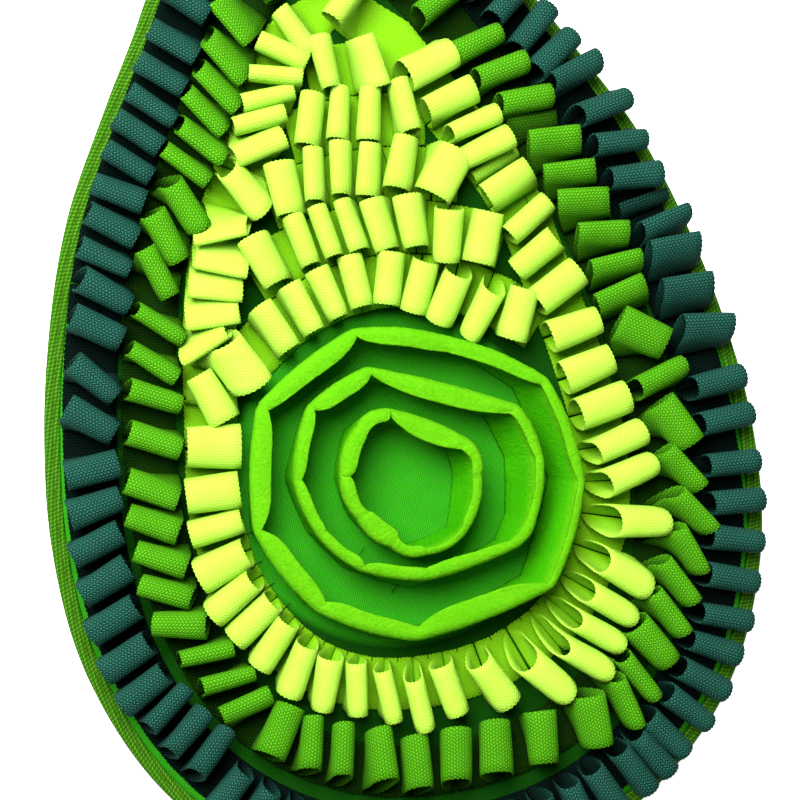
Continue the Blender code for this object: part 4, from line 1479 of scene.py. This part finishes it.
def thread_finish(name, deep, light):
    """Twisted thread: a slanting ridge along it and a slow change of tone."""
    finish, tree, shader = new_finish(name, 0.7)
    place = add_node(tree, "ShaderNodeTexCoord").outputs["Object"]
    twist = add_node(tree, "ShaderNodeTexWave", values={"Scale": 900.0, "Distortion": 1.0})
    tree.links.new(place, twist.inputs["Vector"])
    dye = place_group(tree, DYE, Place=place, Deep=deep, Light=light, Patch_Scale=300.0,
                      Thread_Mask=twist.outputs["Fac"], Thread_Share=0.4)
    tree.links.new(dye.outputs["Colour"], shader.inputs["Base Color"])
    bump_into(tree, shader, twist.outputs["Fac"], 0.5, 0.0001)
    return finish


print("thread is", THREAD_THICK, "mm thick")

# %% [markdown]
# A machine stitch dips into the cloth at both ends, so its middle stands highest. The stitches
# follow each other in the groove of the binding, with a small gap between them.

# %% The machine stitches
STITCH_LONG = 2.5
STITCH_GAP = 0.6
STITCH_SHARES = (0, 0.25, 0.5, 0.75, 1)
STITCH_HEIGHTS = (3.75, 4.12, 4.2, 4.12, 3.75)
SEAM_STATIONS = 2400
GROOVE_INSET = 4.39


def binding_stitches():
    """The even row of stitches in the binding's groove."""
    points, outward, _, whole = edge_frames(SEAM_STATIONS)
    step = whole / SEAM_STATIONS
    stride = STITCH_LONG + STITCH_GAP
    lines = []
    for number in range(int(whole / stride)):
        first = int(number * stride / step)
        line = []
        for share, height in zip(STITCH_SHARES, STITCH_HEIGHTS):
            k = min(first + int(share * STITCH_LONG / step), SEAM_STATIONS - 1)
            line.append((*(points[k] - outward[k] * GROOVE_INSET), height))
        lines.append(line)
    return lines


print("a stitch each", STITCH_LONG + STITCH_GAP, "mm")

# %% [markdown]
# A hand stitch over the edge of a ribbon runs from the ribbon down to the base. These stitches show
# only on the side of the rosette where the pale loops lean away from it. A loose end wanders.

# %% The hand stitches and the loose ends
FOLD_REACHES = (1.5, -0.3, -3.0)  # in from the edge of the ribbon, then out past it
FOLD_HEIGHTS = (RIBBON_FLOOR + 0.9, RIBBON_FLOOR + 0.8, FELT_FLOOR - 0.1)
FIRST_STITCH = 185  # bearings between which the stitches at the folds show
LAST_STITCH = 355
BENT_POINTS = 6
BENT_TIMES = 4
LOOSE_ENDS = (  # places along each loose thread: across, along and above the mat
    ((-27.0, -28.0, 5.4), (-30.5, -31.5, 6.2), (-33.5, -30.0, 5.6)),
    ((-18.0, -52.0, 5.2), (-15.5, -49.0, 6.4), (-12.0, -48.5, 5.8), (-9.5, -50.5, 5.2)),
    ((22.0, -44.0, 5.4), (26.0, -41.5, 6.0), (29.0, -42.5, 5.4)),
    ((9.0, 176.0, 12.0), (11.5, 168.0, 13.5), (12.5, 158.0, 12.0), (14.5, 149.0, 9.0)),
    ((74.0, 128.0, 9.0), (77.5, 124.0, 10.5), (78.5, 119.0, 8.5)),
)


def fold_stitches(layout, first, last):
    """A short stitch over the inner edge of a row at each of its folds between two bearings."""
    lines = []
    reaches = [reach - RIBBON_WIDE / 2 for reach in FOLD_REACHES]
    for fold, away in zip(layout["folds"], layout["outwards"]):
        bearing = math.degrees(math.atan2(fold[1], fold[0])) % 360
        if not first <= bearing <= last:
            continue
        lines.append([(*(fold + away * reach), height) for reach, height in zip(reaches, FOLD_HEIGHTS)])
    return lines


def bent(line):
    """A loose thread through these places, with more points so that it bends softly."""
    line = np.array(line)
    count = len(line)
    line = points_at(line, np.arange(count), np.linspace(0, count - 1, BENT_POINTS * count))
    for _ in range(BENT_TIMES):
        line = eased(line)
    return line


print("loose ends:", len(LOOSE_ENDS))

# %% [markdown]
# The hand stitches and the loose ends are the same dark thread, so they are one piece. The machine
# stitches are an olive thread like the binding.

# %% The thread on the mat
DARK_THREAD = thread_finish("dark thread", (0.004, 0.020, 0.004), (0.020, 0.060, 0.012))
OLIVE_THREAD = thread_finish("olive thread", (0.020, 0.055, 0.002), (0.060, 0.120, 0.006))
hand_sewn = fold_stitches(lay_out_row(PALE_ROW), FIRST_STITCH, LAST_STITCH)
hand_sewn += [bent(line) for line in LOOSE_ENDS]
sewing = thread_piece("row_stitches", hand_sewn, DARK_THREAD)
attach(sewing, "root")
seam = thread_piece("binding_stitches", binding_stitches(), OLIVE_THREAD)
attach(seam, "root")
print("stitches:", len(sewing.data.polygons), "and", len(seam.data.polygons), "faces")

# %% [markdown]
# ## What is cloth
# The rows of ribbon, the felt rings and the binding print the flat size they were cut to, in metres.
# A row of ribbon is as long as all its loops pulled straight. The base has less area than its
# rectangle, as it is pear-shaped.

# %% [markdown]
# ## The floor
# The mat lies on a plain pale floor, a hair below it. The floor glows a little, so that it stays
# evenly pale under a light that comes mostly from one side.

# %% The floor
FLOOR_HALF = 3.0  # metres
FLOOR_BELOW = 0.0005
FLOOR_TONE = (0.9, 0.9, 0.9, 1)
FLOOR_GLOW = 0.75


def make_floor():
    """A plain square of floor."""
    mesh = bpy.data.meshes.new("floor")
    corners = [(x * FLOOR_HALF, y * FLOOR_HALF, 0) for x, y in ((-1, -1), (1, -1), (1, 1), (-1, 1))]
    mesh.from_pydata(corners, [], [(0, 1, 2, 3)])
    floor = bpy.data.objects.new("floor", mesh)
    bpy.context.scene.collection.objects.link(floor)
    finish, _, shader = new_finish("pale floor", 0.9)
    shader.inputs["Base Color"].default_value = FLOOR_TONE
    shader.inputs["Emission Color"].default_value = (1, 1, 1, 1)
    shader.inputs["Emission Strength"].default_value = FLOOR_GLOW
    mesh.materials.append(finish)
    floor.location.z = -FLOOR_BELOW
    return floor


floor = make_floor()
print("floor:", floor.name)

# %% [markdown]
# ## Light
# A large soft light up and to one side gives each loop a lit top and a dark gap beside it. A faint
# light from the other side and a weak even sky keep the gaps from going black.

# %% Lights
KEY_LIGHT = ((-0.34, 0.64, 1.14), 1.0, 60.0)  # place, size, power
FILL_LIGHT = ((0.9, -0.5, 1.3), 1.2, 3.0)
SKY_STRENGTH = 0.25


def looking(place, aim, up):
    """A transform at a place that looks towards a point, with the given way up."""
    back = (place - aim).normalized()
    side = up.cross(back).normalized()
    top = back.cross(side)
    turn = Matrix((side, top, back)).transposed().to_4x4()
    return Matrix.Translation(place) @ turn


def soft_light(name, place, size, power):
    """A round light of this size in metres and power in watts, pointed at the mat."""
    lamp = bpy.data.lights.new(name, "AREA")
    lamp.shape = "DISK"
    lamp.size = size
    lamp.energy = power
    light = bpy.data.objects.new(name, lamp)
    bpy.context.scene.collection.objects.link(light)
    light.matrix_world = looking(Vector(place), Vector((0, 0, 0)), Vector((0, 1, 0.3)))
    return light


key = soft_light("key light", *KEY_LIGHT)
fill = soft_light("fill light", *FILL_LIGHT)
world = bpy.data.worlds.new("soft sky")
world.use_nodes = True
sky = world.node_tree.nodes["Background"]
sky.inputs["Color"].default_value = (1, 1, 1, 1)
sky.inputs["Strength"].default_value = SKY_STRENGTH
bpy.context.scene.world = world
bpy.context.scene.view_settings.view_transform = "Standard"
print("lights:", key.name, fill.name)

# %% [markdown]
# ## Camera
# The camera looks nearly straight down, a little from one side, through a long lens, and it is
# turned a little so that the neck of the mat points up.

# %% Camera
CAMERA_PLACE = (-0.1396, 0.0228, 1.05)
CAMERA_AIM = (0.0026, -0.0138, 0)
CAMERA_TURN = math.radians(9.75)
LENS = 99.4  # millimetres
SENSOR = 36

lens = bpy.data.cameras.new("camera")
lens.lens = LENS
lens.sensor_width = SENSOR
camera = bpy.data.objects.new("camera", lens)
bpy.context.scene.collection.objects.link(camera)
way_up = Vector((math.sin(CAMERA_TURN), math.cos(CAMERA_TURN), 0))
camera.matrix_world = looking(Vector(CAMERA_PLACE), Vector(CAMERA_AIM), way_up)
bpy.context.scene.camera = camera
print("camera at", [round(v, 3) for v in camera.location])
